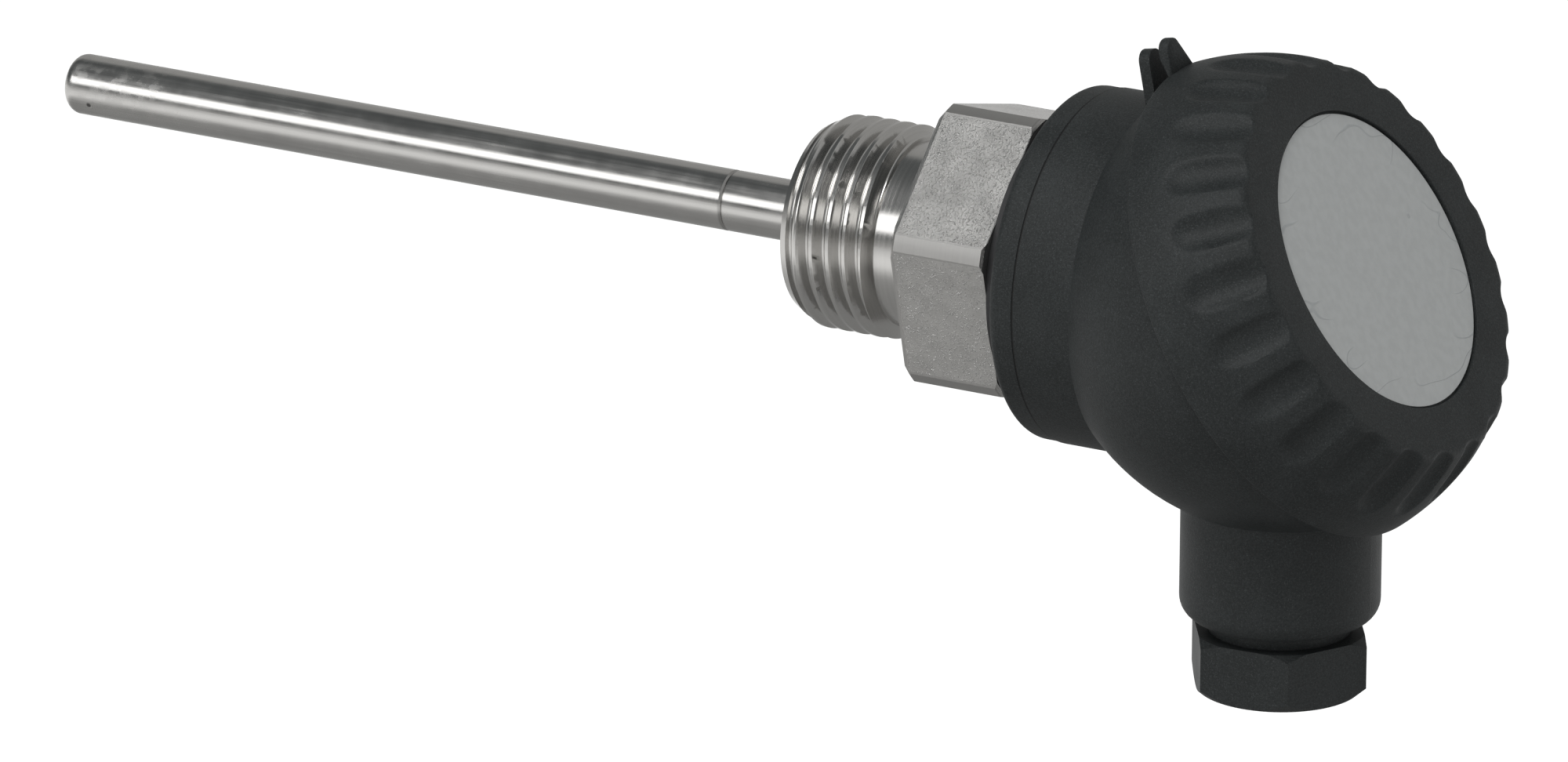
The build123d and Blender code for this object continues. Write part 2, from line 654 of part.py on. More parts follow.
# Terminal block with two ears and an open channel for each pole
channel_width = BAR_WIDTH + 2 * FACE_CLEARANCE
channel_floor = BAR_TOP - BAR_THICKNESS
with BuildPart() as terminal_block:
    with BuildSketch(cap_plane.offset(BLOCK_FOOT)):
        with Locations((BLOCK_OFFSET, 0)):
            Rectangle(BLOCK_LENGTH, 2 * block_half_width)
    extrude(amount=BLOCK_TOP - BLOCK_FOOT)
    with BuildSketch(cap_plane.offset(BLOCK_FOOT)):
        with Locations((BLOCK_OFFSET, 0)):
            Rectangle(EAR_WIDTH, 2 * ear_reach)
    extrude(amount=EAR_THICKNESS)
    fillet(
        terminal_block.edges().filter_by(Axis((0, 0, 0), cap_out)).group_by(Axis.Y)[0]
        + terminal_block.edges().filter_by(Axis((0, 0, 0), cap_out)).group_by(Axis.Y)[-1],
        radius=EAR_WIDTH / 3,
    )
    with BuildSketch(cap_plane.offset(channel_floor)):
        with Locations((BLOCK_OFFSET, pole_offset), (BLOCK_OFFSET, -pole_offset)):
            Rectangle(BLOCK_LENGTH, channel_width)
    extrude(amount=BLOCK_TOP - channel_floor, mode=Mode.SUBTRACT)
    with BuildSketch(cap_plane.offset(channel_floor)):
        with Locations((CLAMP_OFFSET, pole_offset), (CLAMP_OFFSET, -pole_offset)):
            Circle(CLAMP_SHANK_RADIUS + BODY_CLEARANCE)
    extrude(amount=-CLAMP_WELL_DEPTH, mode=Mode.SUBTRACT)
    with BuildSketch(cap_plane.offset(BLOCK_FOOT)):
        with Locations((BLOCK_OFFSET, ear_screw_offset), (BLOCK_OFFSET, -ear_screw_offset)):
            Circle(BLOCK_SCREW_RADIUS + LOOSE_CLEARANCE)
    extrude(amount=EAR_THICKNESS, mode=Mode.SUBTRACT)
save(terminal_block, "terminal_block")

# For each pole: terminal bar, clamp plate, clamp screw, block screw and lead wire
bar_start = BLOCK_OFFSET - BLOCK_LENGTH / 2 + BAR_END_MARGIN
bar_end = BLOCK_OFFSET + BLOCK_LENGTH / 2 + TAG_OVERHANG
plate_foot = BAR_TOP + BODY_CLEARANCE
head_foot = plate_foot + CLAMP_PLATE_THICKNESS + FACE_CLEARANCE
block_head_foot = BLOCK_FOOT + EAR_THICKNESS
for letter, side in (("a", -1), ("b", 1)):
    pole = -side * pole_offset
    with BuildPart() as terminal_bar:
        with BuildSketch(cap_plane.offset(channel_floor)):
            with Locations(((bar_start + bar_end) / 2, pole)):
                Rectangle(bar_end - bar_start, BAR_WIDTH)
            with Locations((CLAMP_OFFSET, pole)):
                Circle(CLAMP_SHANK_RADIUS + RUNNING_CLEARANCE, mode=Mode.SUBTRACT)
        extrude(amount=BAR_THICKNESS)
    save(terminal_bar, f"terminal_bar_{letter}")

    with BuildPart() as clamp_plate:
        with BuildSketch(cap_plane.offset(plate_foot)):
            with Locations((CLAMP_OFFSET, pole)):
                Rectangle(CLAMP_PLATE_SIDE, CLAMP_PLATE_SIDE)
                Circle(CLAMP_SHANK_RADIUS + RUNNING_CLEARANCE, mode=Mode.SUBTRACT)
        extrude(amount=CLAMP_PLATE_THICKNESS)
    save(clamp_plate, f"clamp_plate_{letter}")

    with BuildPart() as clamp_screw:
        with BuildSketch(cap_plane.offset(head_foot)):
            with Locations((CLAMP_OFFSET, pole)):
                Circle(CLAMP_HEAD_RADIUS)
        extrude(amount=CLAMP_HEAD_HEIGHT)
        with BuildSketch(cap_plane.offset(head_foot)):
            with Locations((CLAMP_OFFSET, pole)):
                Circle(CLAMP_SHANK_RADIUS)
        extrude(amount=-CLAMP_SHANK_LENGTH)
        with BuildSketch(cap_plane.offset(head_foot + CLAMP_HEAD_HEIGHT)):
            with Locations((CLAMP_OFFSET, pole)):
                Rectangle(2 * CLAMP_HEAD_RADIUS, SLOT_WIDTH)
        extrude(amount=-SLOT_DEPTH, mode=Mode.SUBTRACT)
    save(clamp_screw, f"clamp_screw_{letter}")

    with BuildPart() as block_screw:
        with BuildSketch(cap_plane.offset(block_head_foot)):
            with Locations((BLOCK_OFFSET, -side * ear_screw_offset)):
                Circle(BLOCK_SCREW_HEAD_RADIUS)
        extrude(amount=BLOCK_SCREW_HEAD_HEIGHT)
        with BuildSketch(cap_plane.offset(block_head_foot)):
            with Locations((BLOCK_OFFSET, -side * ear_screw_offset)):
                Circle(BLOCK_SCREW_RADIUS)
        extrude(amount=-BLOCK_SCREW_LENGTH)
        with BuildSketch(cap_plane.offset(block_head_foot + BLOCK_SCREW_HEAD_HEIGHT)):
            with Locations((BLOCK_OFFSET, -side * ear_screw_offset)):
                Rectangle(SLOT_WIDTH, 2 * BLOCK_SCREW_HEAD_RADIUS)
        extrude(amount=-SLOT_DEPTH, mode=Mode.SUBTRACT)
    save(block_screw, f"block_screw_{letter}")

    lead_side = side * LEAD_HALF_PITCH
    behind_tag = bar_end + LEAD_BEHIND_TAG
    on_tag = BAR_TOP + LEAD_RADIUS + FILLING_GAP
    with BuildPart() as lead_wire:
        with BuildLine() as lead_path:
            FilletPolyline(
                Vector(chip_end + FILLING_GAP, lead_side, 0),
                Vector(nipple_end_x + LEAD_STRAIGHT_PAST_NIPPLE, lead_side, 0),
                cap_point(behind_tag, side * pole_offset, BAR_TOP - 2 * BAR_THICKNESS),
                cap_point(behind_tag, side * pole_offset, on_tag),
                cap_point(bar_end - LEAD_ON_TAG, side * pole_offset, on_tag),
                radius=[LEAD_BEND, LEAD_TAG_BEND, LEAD_TAG_BEND],
            )
        with BuildSketch(Plane(origin=lead_path.line @ 0, z_dir=lead_path.line % 0)):
            Circle(LEAD_RADIUS)
        sweep(path=lead_path.line)
    save(lead_wire, f"lead_wire_{letter}")
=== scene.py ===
"""Dresses a temperature probe and its connection head for a studio picture.

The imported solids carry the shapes. This script gives every one of them a
finish, cuts the pipe thread, softens the fluted cap, and sets up the camera,
the lamps and the floor. Lengths are in metres unless they are called
millimetres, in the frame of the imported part: +X runs along the probe towards
the head, and +Z is up.
"""

import logging
import math
from collections.abc import Sequence
from dataclasses import dataclass
from enum import Enum
from functools import cache

import bmesh
import bpy
from mathutils import Matrix, Vector


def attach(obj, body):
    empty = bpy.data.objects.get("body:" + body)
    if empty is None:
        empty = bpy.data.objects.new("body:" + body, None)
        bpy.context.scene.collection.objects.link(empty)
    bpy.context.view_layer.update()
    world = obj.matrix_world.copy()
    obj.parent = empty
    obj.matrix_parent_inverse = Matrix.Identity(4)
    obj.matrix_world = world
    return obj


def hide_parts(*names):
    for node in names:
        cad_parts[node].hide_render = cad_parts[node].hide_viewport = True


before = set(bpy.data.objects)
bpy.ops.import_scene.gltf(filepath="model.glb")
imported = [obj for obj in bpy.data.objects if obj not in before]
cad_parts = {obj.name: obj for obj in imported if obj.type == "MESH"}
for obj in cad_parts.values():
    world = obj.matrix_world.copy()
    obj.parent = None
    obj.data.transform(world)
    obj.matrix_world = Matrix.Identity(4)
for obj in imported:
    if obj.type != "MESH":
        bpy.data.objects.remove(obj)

MM = 0.001
WELD = 1e-7

Colour = tuple[float, float, float]
Place = tuple[float, float, float]
Span = tuple[float, float]
Socket = bpy.types.NodeSocket

log = logging.getLogger("probe")


class Slot(Enum):
    """The finishes of the part's record that the new pieces stand for."""

    FITTING_STEEL = "fitting_steel"
    HEAD_PLASTIC = "head_plastic"


class Join(Enum):
    """What becomes of the meshes that are put together."""

    WHOLE = "UNION"
    CUT = "DIFFERENCE"


class Number:
    """A number that a node tree works out, with plain arithmetic on it."""

    def __init__(self, graph: "Graph", socket: Socket) -> None:
        """Keeps the tree and the number's socket in it."""
        self.graph, self.socket = graph, socket

    def __add__(self, other: "Value") -> "Number":
        """Adds a number."""
        return self.graph.math("ADD", self, other)

    def __sub__(self, other: "Value") -> "Number":
        """Takes a number away."""
        return self.graph.math("SUBTRACT", self, other)

    def __rsub__(self, other: "Value") -> "Number":
        """Takes it away from a plain number."""
        return self.graph.math("SUBTRACT", other, self)

    def __mul__(self, other: "Value") -> "Number":
        """Multiplies by a number."""
        return self.graph.math("MULTIPLY", self, other)

    def __truediv__(self, other: "Value") -> "Number":
        """Divides by a number."""
        return self.graph.math("DIVIDE", self, other)

    def __mod__(self, other: "Value") -> "Number":
        """Gives what is left over whole steps of a number."""
        return self.graph.math("FLOORED_MODULO", self, other)

    def __pow__(self, power: float) -> "Number":
        """Raises it to a power."""
        return self.graph.math("POWER", self, power)

    def __abs__(self) -> "Number":
        """Drops its sign."""
        return self.graph.math("ABSOLUTE", self)


Value = float | Number | Socket


class Graph:
    """A node tree that is built in short calls."""

    def __init__(self, tree: bpy.types.NodeTree) -> None:
        """Keeps the tree and starts it empty."""
        self.tree = tree
        self.tree.nodes.clear()

    def add(
        self, kind: str, inputs: dict[str | int, object] | None = None, **settings: object
    ) -> bpy.types.Node:
        """Adds a node.

        Args:
            kind: The node's type.
            inputs: Values or sockets for its inputs, by name or number.
            **settings: Values for its own properties.

        Returns:
            The new node.
        """
        node = self.tree.nodes.new(kind)
        for name, value in settings.items():
            setattr(node, name, value)
        for key, value in (inputs or {}).items():
            self.feed(node.inputs[key], value)
        return node

    def feed(self, socket: Socket, value: object) -> None:
        """Links a number or a socket to an input, or sets the input's value.

        Args:
            socket: The input.
            value: What goes into it.
        """
        if isinstance(value, Number):
            value = value.socket
        if isinstance(value, Socket):
            self.tree.links.new(value, socket)
        else:
            socket.default_value = value

    def read(self, kind: str, output: int | str = 0) -> Number:
        """Adds a node that only gives a number."""
        return Number(self, self.add(kind).outputs[output])

    def math(self, operation: str, *values: Value, clamp: bool = False) -> Number:
        """Works out one step of arithmetic.

        Args:
            operation: The name of the step, such as "ADD".
            *values: One to three numbers or sockets.
            clamp: Whether the result stays between 0 and 1.

        Returns:
            The result.
        """
        settings = {"operation": operation, "use_clamp": clamp}
        node = self.add("ShaderNodeMath", dict(enumerate(values)), **settings)
        return Number(self, node.outputs[0])

    def between(self, value: Value, low: float, high: float) -> Number:
        """Rises smoothly from 0 at low to 1 at high, which may lie below low.

        Args:
            value: The number that is looked at.
            low: Where the result starts to rise.
            high: Where it reaches 1.

        Returns:
            The result.
        """
        inputs = {"Value": value, "From Min": low, "From Max": high}
        node = self.add("ShaderNodeMapRange", inputs, interpolation_type="SMOOTHSTEP")
        return Number(self, node.outputs["Result"])

    def band(self, value: Number, middle: float, edge: Span) -> Number:
        """Marks a band round a number, which fades between two half widths."""
        return self.between(abs(value - middle), *edge)

    def within(self, value: Number, low: float, high: float) -> Number:
        """Gives 1 where a number lies between two others."""
        return self.math("GREATER_THAN", value, low) * self.math("LESS_THAN", value, high)

    def blend(self, factor: Value, first: Value, second: Value) -> Number:
        """Mixes two numbers."""
        node = self.add("ShaderNodeMix", {0: factor, 2: first, 3: second}, data_type="FLOAT")
        return Number(self, node.outputs[0])

    def tint(self, factor: Value, first: Colour | Socket, second: Colour | Socket) -> Socket:
        """Mixes two colours.

        Args:
            factor: How much of the second one shows.
            first: The first colour.
            second: The second colour.

        Returns:
            The colour's socket.
        """
        first, second = ((*c, 1.0) if isinstance(c, tuple) else c for c in (first, second))
        node = self.add("ShaderNodeMix", {0: factor, 6: first, 7: second}, data_type="RGBA")
        return node.outputs[2]

    def joined(self, x: Value, y: Value, z: Value) -> Socket:
        """Joins three numbers to a place."""
        return self.add("ShaderNodeCombineXYZ", {0: x, 1: y, 2: z}).outputs[0]

    def parts(self, place: Socket) -> list[Number]:
        """Splits a place into its three numbers."""
        return [Number(self, out) for out in self.add("ShaderNodeSeparateXYZ", {0: place}).outputs]

    def scaled(self, place: Socket, factors: Sequence[float]) -> Socket:
        """Stretches a place by a factor along each axis."""
        node = self.add("ShaderNodeVectorMath", {0: place, 1: tuple(factors)}, operation="MULTIPLY")
        return node.outputs[0]

    def distance(self, place: Socket, point: Place) -> Number:
        """Measures how far a place lies from a point."""
        node = self.add("ShaderNodeVectorMath", {0: place, 1: point}, operation="DISTANCE")
        return Number(self, node.outputs["Value"])

    def off_axis(self, side: Number, up: Number) -> Number:
        """Measures how far a place lies from an axis, from its two ways out."""
        return self.math("SQRT", side**2.0 + up**2.0)

    def noise(self, place: Socket, scale: float = 1.0, detail: float = 2.0) -> Number:
        """Reads cloudy noise at a place.

        Args:
            place: The place.
            scale: Clouds for each unit of length.
            detail: How many finer layers lie in it.

        Returns:
            A number round 0.5.
        """
        inputs = {"Vector": place, "Scale": scale, "Detail": detail}
        return Number(self, self.add("ShaderNodeTexNoise", inputs).outputs[0])


class Surface(Graph):
    """A material on object coordinates, counted in millimetres."""

    def __init__(self, name: str) -> None:
        """Starts a material with one shader.

        Args:
            name: The material's name.
        """
        self.material = bpy.data.materials.new(name)
        self.material.use_nodes = True
        super().__init__(self.material.node_tree)
        self.shader = self.add("ShaderNodeBsdfPrincipled")
        self.add("ShaderNodeOutputMaterial", {"Surface": self.shader.outputs[0]})
        metres = self.add("ShaderNodeTexCoord").outputs["Object"]
        self.place = self.scaled(metres, (1 / MM, 1 / MM, 1 / MM))
        self.x, self.y, self.z = self.parts(self.place)

    def set(self, **values: Value) -> None:
        """Sets the shader's inputs.

        Args:
            **values: Values by the inputs' names, with underscores for spaces.
        """
        for name, value in values.items():
            label = name.replace("_", " ").title().replace("Ior", "IOR")
            self.feed(self.shader.inputs[label], value)

    def relief(self, height: Number, depth: float) -> None:
        """Gives the surface a fine relief.

        Args:
            height: A number that rises with the surface.
            depth: What a rise of 1 stands for, in millimetres.
        """
        node = self.add("ShaderNodeBump", {"Height": height, "Distance": depth * MM})
        self.feed(self.shader.inputs["Normal"], node.outputs[0])

    def spot(self, at: Place, edge: Span) -> Number:
        """Marks a round spot, which fades between two radii."""
        return self.between(self.distance(self.place, at), *edge)

    def scratches(
        self, turns: Sequence[float], fineness: float, length: float, rarity: float
    ) -> Number:
        """Draws short straight scratches in several directions.

        Args:
            turns: The turn of each set about the three axes, in radians.
            fineness: Scratches for each millimetre across them.
            length: How many times longer than wide they are.
            rarity: The noise above which a scratch begins.

        Returns:
            A number that is high on a scratch.
        """
        fade = 0.06
        total: Value = 0.0
        for turn in turns:
            turned = self.add(
                "ShaderNodeVectorRotate",
                {"Vector": self.place, "Rotation": (turn, turn * 1.7, turn * 0.6)},
                rotation_type="EULER_XYZ",
            ).outputs[0]
            drawn = self.scaled(turned, (fineness / length, fineness, fineness))
            streak = self.noise(drawn, detail=1.0)
            total = self.between(streak, rarity, rarity + fade) + total
        return total


class Shape(Graph):
    """A Geometry Nodes tree with named sizes that makes one plain mesh."""

    def __init__(self, name: str, **sizes: float | bpy.types.Object) -> None:
        """Starts a tree with an input for the mesh that it works on and one for each size.

        Args:
            name: The tree's name.
            **sizes: Lengths, counts and helper objects, by the names of their inputs.
        """
        super().__init__(bpy.data.node_groups.new(name, "GeometryNodeTree"))
        self.sizes = sizes
        faces = self.tree.interface
        for way in ("OUTPUT", "INPUT"):
            faces.new_socket("Geometry", in_out=way, socket_type="NodeSocketGeometry")
        self.keys = {}
        for label, size in sizes.items():
            kind = "NodeSocketFloat" if isinstance(size, float) else "NodeSocketObject"
            self.keys[label] = faces.new_socket(label, in_out="INPUT", socket_type=kind).identifier
        self.entry = self.add("NodeGroupInput")
        self.blank = self.entry.outputs["Geometry"]

    def __getitem__(self, label: str) -> Number:
        """Gives the size behind an input."""
        return Number(self, self.entry.outputs[label])

    def helper(self, label: str) -> Socket:
        """Gives the mesh of a helper object."""
        return self.add("GeometryNodeObjectInfo", {"Object": self[label]}).outputs["Geometry"]

    def moved(self, geometry: Socket, place: Socket) -> Socket:
        """Moves every point of a shape to a place of its own."""
        inputs = {"Geometry": geometry, "Position": place}
        return self.add("GeometryNodeSetPosition", inputs).outputs[0]

    def boolean(self, join: Join, *meshes: Socket) -> Socket:
        """Makes one closed mesh of several.

        Args:
            join: Whether they become a whole, or the others are cut from the first.
            *meshes: The meshes.

        Returns:
            The new mesh.
        """
        node = self.add("GeometryNodeMeshBoolean", operation=join.value, solver="EXACT")
        for i, mesh in enumerate(meshes):
            first = i == 0 and join is Join.CUT
            self.feed(node.inputs["Mesh 1" if first else "Mesh 2"], mesh)
        return node.outputs[0]

    def finished(
        self, geometry: Socket, start: bpy.types.Mesh, material: bpy.types.Material
    ) -> bpy.types.Mesh:
        """Ends the tree and evaluates it.

        Args:
            geometry: The shape that the tree makes.
            start: The mesh that it starts from.
            material: What the shape is made of.

        Returns:
            The shape as a plain mesh.
        """
        real = self.add("GeometryNodeRealizeInstances", {"Geometry": geometry}).outputs[0]
        dressed = self.add("GeometryNodeSetMaterial", {"Geometry": real, "Material": material})
        self.add("NodeGroupOutput", {0: dressed.outputs[0]})
        maker = placed(self.tree.name, start)
        modifier = maker.modifiers.new("shape", "NODES")
        modifier.node_group = self.tree
        for label, size in self.sizes.items():
            modifier[self.keys[label]] = size
        evaluated = maker.evaluated_get(bpy.context.evaluated_depsgraph_get())
        mesh = bpy.data.meshes.new_from_object(evaluated)
        maker.modifiers.clear()
        bpy.data.objects.remove(maker)
        mesh.materials.clear()
        mesh.materials.append(material)
        mesh.polygons.foreach_set("material_index", [0] * len(mesh.polygons))
        return mesh


def sine_cosine(degrees: float) -> tuple[float, float]:
    """Gives the sine and the cosine of an angle."""
    return math.sin(math.radians(degrees)), math.cos(math.radians(degrees))


def rounded(radius: float, steps: int) -> list[Span]:
    """Walks along a rounded edge.

    Args:
        radius: The edge's radius.
        steps: Stations along it.

    Returns:
        How far it lies back from its two faces, from (radius, 0) to (0, radius).
    """
    turns = [math.radians(90.0 * i / steps) for i in range(steps + 1)]
    return [(radius * (1 - math.sin(a)), radius * (1 - math.cos(a))) for a in turns]


def darker(colour: Colour, factor: float) -> Colour:
    """Darkens a colour."""
    return tuple(c * factor for c in colour)


def placed(name: str, data: bpy.types.ID) -> bpy.types.Object:
    """Makes an object and puts it into the scene.

    Args:
        name: The object's name.
        data: Its mesh, light or camera.

    Returns:
        The object.
    """
    made = bpy.data.objects.new(name, data)
    bpy.context.scene.collection.objects.link(made)
    return made


def settle(body: bmesh.types.BMesh, mesh: bpy.types.Mesh) -> bpy.types.Mesh:
    """Writes a working body into a mesh and frees it.

    Args:
        body: The working body.
        mesh: The mesh.

    Returns:
        The same mesh.
    """
    body.to_mesh(mesh)
    body.free()
    return mesh


def welded(name: str) -> bpy.types.Mesh:
    """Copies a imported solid's mesh and joins its loose triangles.

    Args:
        name: The solid's name.

    Returns:
        The copy, without materials.
    """
    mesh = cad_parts[name].data.copy()
    mesh.materials.clear()
    body = bmesh.new()
    body.from_mesh(mesh)
    bmesh.ops.remove_doubles(body, verts=body.verts, dist=WELD)
    return settle(body, mesh)


def crisp(mesh: bpy.types.Mesh, degrees: float = 30.0) -> bpy.types.Mesh:
    """Shades a mesh smoothly between its edges that turn by more than an angle.

    Args:
        mesh: The mesh.
        degrees: The angle.

    Returns:
        The same mesh.
    """
    body = bmesh.new()
    body.from_mesh(mesh)
    for face in body.faces:
        face.smooth = True
    for edge in body.edges:
        edge.smooth = edge.is_manifold and edge.calc_face_angle(0.0) < math.radians(degrees)
    return settle(body, mesh)


def piece(name: str, mesh: bpy.types.Mesh, body: str, slot: Slot, *nodes: str) -> None:
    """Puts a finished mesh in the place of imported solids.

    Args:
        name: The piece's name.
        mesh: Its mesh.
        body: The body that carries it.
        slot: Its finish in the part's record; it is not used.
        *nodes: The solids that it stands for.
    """
    made = placed(name, mesh)
    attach(made, body)
    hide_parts(*nodes)
    log.info("%s has %d faces", name, len(mesh.polygons))


@dataclass(frozen=True)
class HeadAxes:
    """The head's centre and the cap's own directions.

    Attributes:
        centre: Where the head's centre lies along the probe, in millimetres.
        tilt: The cap's tilt from the probe's axis, in degrees.
    """

    centre: float = 35.0
    tilt: float = 30.0

    def frame(self) -> Matrix:
        """Turns places across, along +Y and out of the cap into the part's frame.

        Returns:
            The change of frame.
        """
        sine, cosine = sine_cosine(self.tilt)
        columns = ((-sine, 0.0, cosine), (0.0, 1.0, 0.0), (cosine, 0.0, sine))
        turn = Matrix(columns).transposed().to_4x4()
        return Matrix.Translation((self.centre * MM, 0.0, 0.0)) @ turn


@dataclass(frozen=True)
class Finish:
    """A finish and its one material.

    Attributes:
        name: The material's name.
    """

    name: str

    @cache
    def material(self) -> bpy.types.Material:
        """Builds the material, the first time that it is asked for.

        Returns:
            The material.
        """
        s = Surface(self.name)
        self.paint(s)
        return s.material

    def paint(self, s: Surface) -> None:
        """Paints a surface."""
        raise NotImplementedError


@dataclass(frozen=True)
class DrawnSteel(Finish):
    """Stainless tube, polished and then brushed along its length, in millimetres.

    Attributes:
        colour: What it reflects.
        shade: How dark its streaks are beside that.
        gloss: The roughness where it is smoothest.
        streaks: Streaks for each millimetre along and across the tube.
        hairlines: The same for the finer lines in them.
        relief: How deep they are.
        ring_at: Where the weld ring lies along the tube.
        ring_edge: The half widths between which it fades.
        ring_colour: Its colour.
        rub: Where the rubbed part of the tip begins and where it is full.
        pit_at: Where a small pit lies near the tip.
        pit_edge: The radii between which it fades.
        pit_colour: Its colour.
        pit_depth: How many times deeper than a streak it is.
    """

    name: str = "drawn_steel"
    colour: Colour = (0.50, 0.492, 0.478)
    shade: float = 0.86
    gloss: float = 0.12
    streaks: Place = (0.06, 3.2, 3.2)
    hairlines: Place = (0.12, 11.0, 11.0)
    relief: float = 0.0035
    ring_at: float = -25.3
    ring_edge: Span = (0.38, 0.12)
    ring_colour: Colour = (0.12, 0.115, 0.11)
    rub: Span = (-84.0, -92.0)
    pit_at: Place = (-96.8, -2.76, -1.17)
    pit_edge: Span = (0.34, 0.16)
    pit_colour: Colour = (0.03, 0.03, 0.03)
    pit_depth: float = 12.0

    def paint(self, s: Surface) -> None:
        """Paints the streaks, the weld ring, the rubbed tip and its pit.

        Args:
            s: The surface.
        """
        streak = s.noise(s.scaled(s.place, self.streaks), detail=4.0)
        smudge = s.noise(s.place, 0.35, 4.0)
        shade = s.between(streak * 0.6 + smudge * 0.4, 0.3, 0.7)
        base = s.tint(shade, darker(self.colour, self.shade), self.colour)
        ring = s.band(s.x, self.ring_at, self.ring_edge)
        base = s.tint(ring * 0.35, base, self.ring_colour)
        rubbed = s.between(s.x, *self.rub) * s.between(s.noise(s.place, 0.8, 5.0), 0.42, 0.66)
        pit = s.spot(self.pit_at, self.pit_edge)
        s.set(
            base_color=s.tint(pit * 0.8, base, self.pit_colour),
            metallic=1.0,
            roughness=smudge * streak * 0.4 + rubbed * 0.1 + self.gloss,
        )
        fine = s.noise(s.scaled(s.place, self.hairlines), detail=3.0)
        s.relief(fine * 0.7 + streak - pit * self.pit_depth, self.relief)


@dataclass(frozen=True)
class TurnedSteel(Finish):
    """Stainless bar: turned thread and collars, and a hexagon with ground, handled flats.

    Attributes:
        colour: What it reflects.
        shade: How dark its hollows are beside that.
        corner_painted_shade: Painted shade: the darker colour that the hexagon's turned corners
            take on, so that they mirror the lamps less brightly.
        painted_glint_colour: A painted glint: the bright colour that the nicks in its flats take
            on, whatever light falls on them.
        gloss: The roughness of the turned surfaces.
        flat_gloss: The roughness of the flats.
        hexagon: Where the hexagon's sides begin and end along the probe, in millimetres.
        flats: The radii between which its flats lie.
        lathe: Lathe marks for each millimetre along the probe and out from its axis.
        nicks: The directions of the nicks, in radians.
        relief: The depth of the marks, in millimetres.
    """

    name: str = "turned_steel"
    colour: Colour = (0.50, 0.492, 0.478)
    shade: float = 0.8
    corner_painted_shade: Colour = (0.24, 0.236, 0.23)
    painted_glint_colour: Colour = (0.85, 0.84, 0.83)
    gloss: float = 0.12
    flat_gloss: float = 0.24
    hexagon: Span = (0.35, 10.0)
    flats: Span = (13.0, 15.05)
    lathe: Place = (7.0, 3.0, 1.0)
    nicks: tuple[float, ...] = (0.4, 1.3, 1.9, 2.7, 3.4, 4.3, 5.2)
    relief: float = 0.03

    def paint(self, s: Surface) -> None:
        """Paints the lathe marks, the flats with their nicks and painted glints, and painted shade
        on the flats and the turned corners.

        Args:
            s: The surface.
        """
        radius = s.off_axis(s.y, s.z)
        on_hexagon = s.within(s.x, *self.hexagon)
        on_flats = on_hexagon * s.within(radius, *self.flats)
        on_corner = on_hexagon * (1.0 - s.math("LESS_THAN", radius, self.flats[1]))
        lathe = s.noise(s.scaled(s.joined(s.x, radius, 0.0), self.lathe), detail=3.0)
        grain = s.noise(s.place, 6.5, 3.0)
        smudge = s.noise(s.place, 0.5, 3.0)
        nicks = s.scratches(self.nicks, fineness=5.5, length=14.0, rarity=0.67)
        dark = darker(self.colour, self.shade)
        cloud = s.math("ADD", s.blend(on_flats, lathe, smudge), 0.3, clamp=True)
        # Painted shade: the flats are tinted a little darker and the turned corners much darker
        # than the rest of the steel, which dims what they mirror.
        base = s.tint(on_flats * 0.1, s.tint(cloud, dark, self.colour), dark)
        base = s.tint(on_corner * 0.4, base, self.corner_painted_shade)
        # Painted glints: the nicks on the flats are tinted towards a bright colour, as if they
        # caught the light.
        painted_glint = s.math("MULTIPLY", nicks * on_flats, 0.3, clamp=True)
        turned = lathe * 0.16 + self.gloss + on_corner * 0.2
        s.set(
            base_color=s.tint(painted_glint, base, self.painted_glint_colour),
            metallic=1.0,
            roughness=s.blend(on_flats, turned, smudge * 0.16 + self.flat_gloss),
        )
        s.relief(s.blend(on_flats, lathe * 0.14, grain * 0.35 + nicks * 1.7), self.relief)


@dataclass(frozen=True)
class MouldedPlastic(Finish):
    """Charcoal glass-filled plastic with the fine grain of its mould, in millimetres.

    Attributes:
        dark: The colour in the grain's hollows.
        pale: The colour on its tops.
        fleck: The colour of the fine flecks in it.
        dust: The colour of the rarer, coarser ones.
        seam: The colour of a ring joint.
        gloss: The roughness.
        shine: How strongly it mirrors.
        grain: Grains for each millimetre.
        depth: The grain's depth.
        seam_at: Where a fine ring joint lies along the probe, or None.
        seam_edge: The half widths between which it fades.
    """

    dark: Colour = (0.0125, 0.0148, 0.0150)
    pale: Colour = (0.0295, 0.033, 0.0335)
    fleck: Colour = (0.085, 0.094, 0.096)
    dust: Colour = (0.16, 0.17, 0.17)
    seam: Colour = (0.006, 0.006, 0.006)
    gloss: float = 0.5
    shine: float = 0.27
    grain: float = 4.5
    depth: float = 0.03
    seam_at: float | None = None
    seam_edge: Span = (0.16, 0.06)

    def paint(self, s: Surface) -> None:
        """Paints the grain, the flecks and the joint.

        Args:
            s: The surface.
        """
        grain = s.noise(s.place, self.grain, 3.0)
        cloud = s.noise(s.place, 0.22, 4.0)
        dust = s.between(s.noise(s.place, 2.6, 1.0), 0.80, 0.86)
        fleck = s.between(s.noise(s.place, 9.0, 1.0), 0.56, 0.8)
        base = s.tint(s.between(grain * 0.75 + cloud * 0.45, 0.38, 0.88), self.dark, self.pale)
        base = s.tint(dust * 0.4, base, self.dust)
        base = s.tint(fleck * 0.5, base, self.fleck)
        if self.seam_at is not None:
            base = s.tint(s.band(s.x, self.seam_at, self.seam_edge), base, self.seam)
        s.set(
            base_color=base,
            roughness=cloud * 0.14 + self.gloss,
            specular_ior_level=self.shine,
        )
        s.relief(grain + dust * 0.6, self.depth)


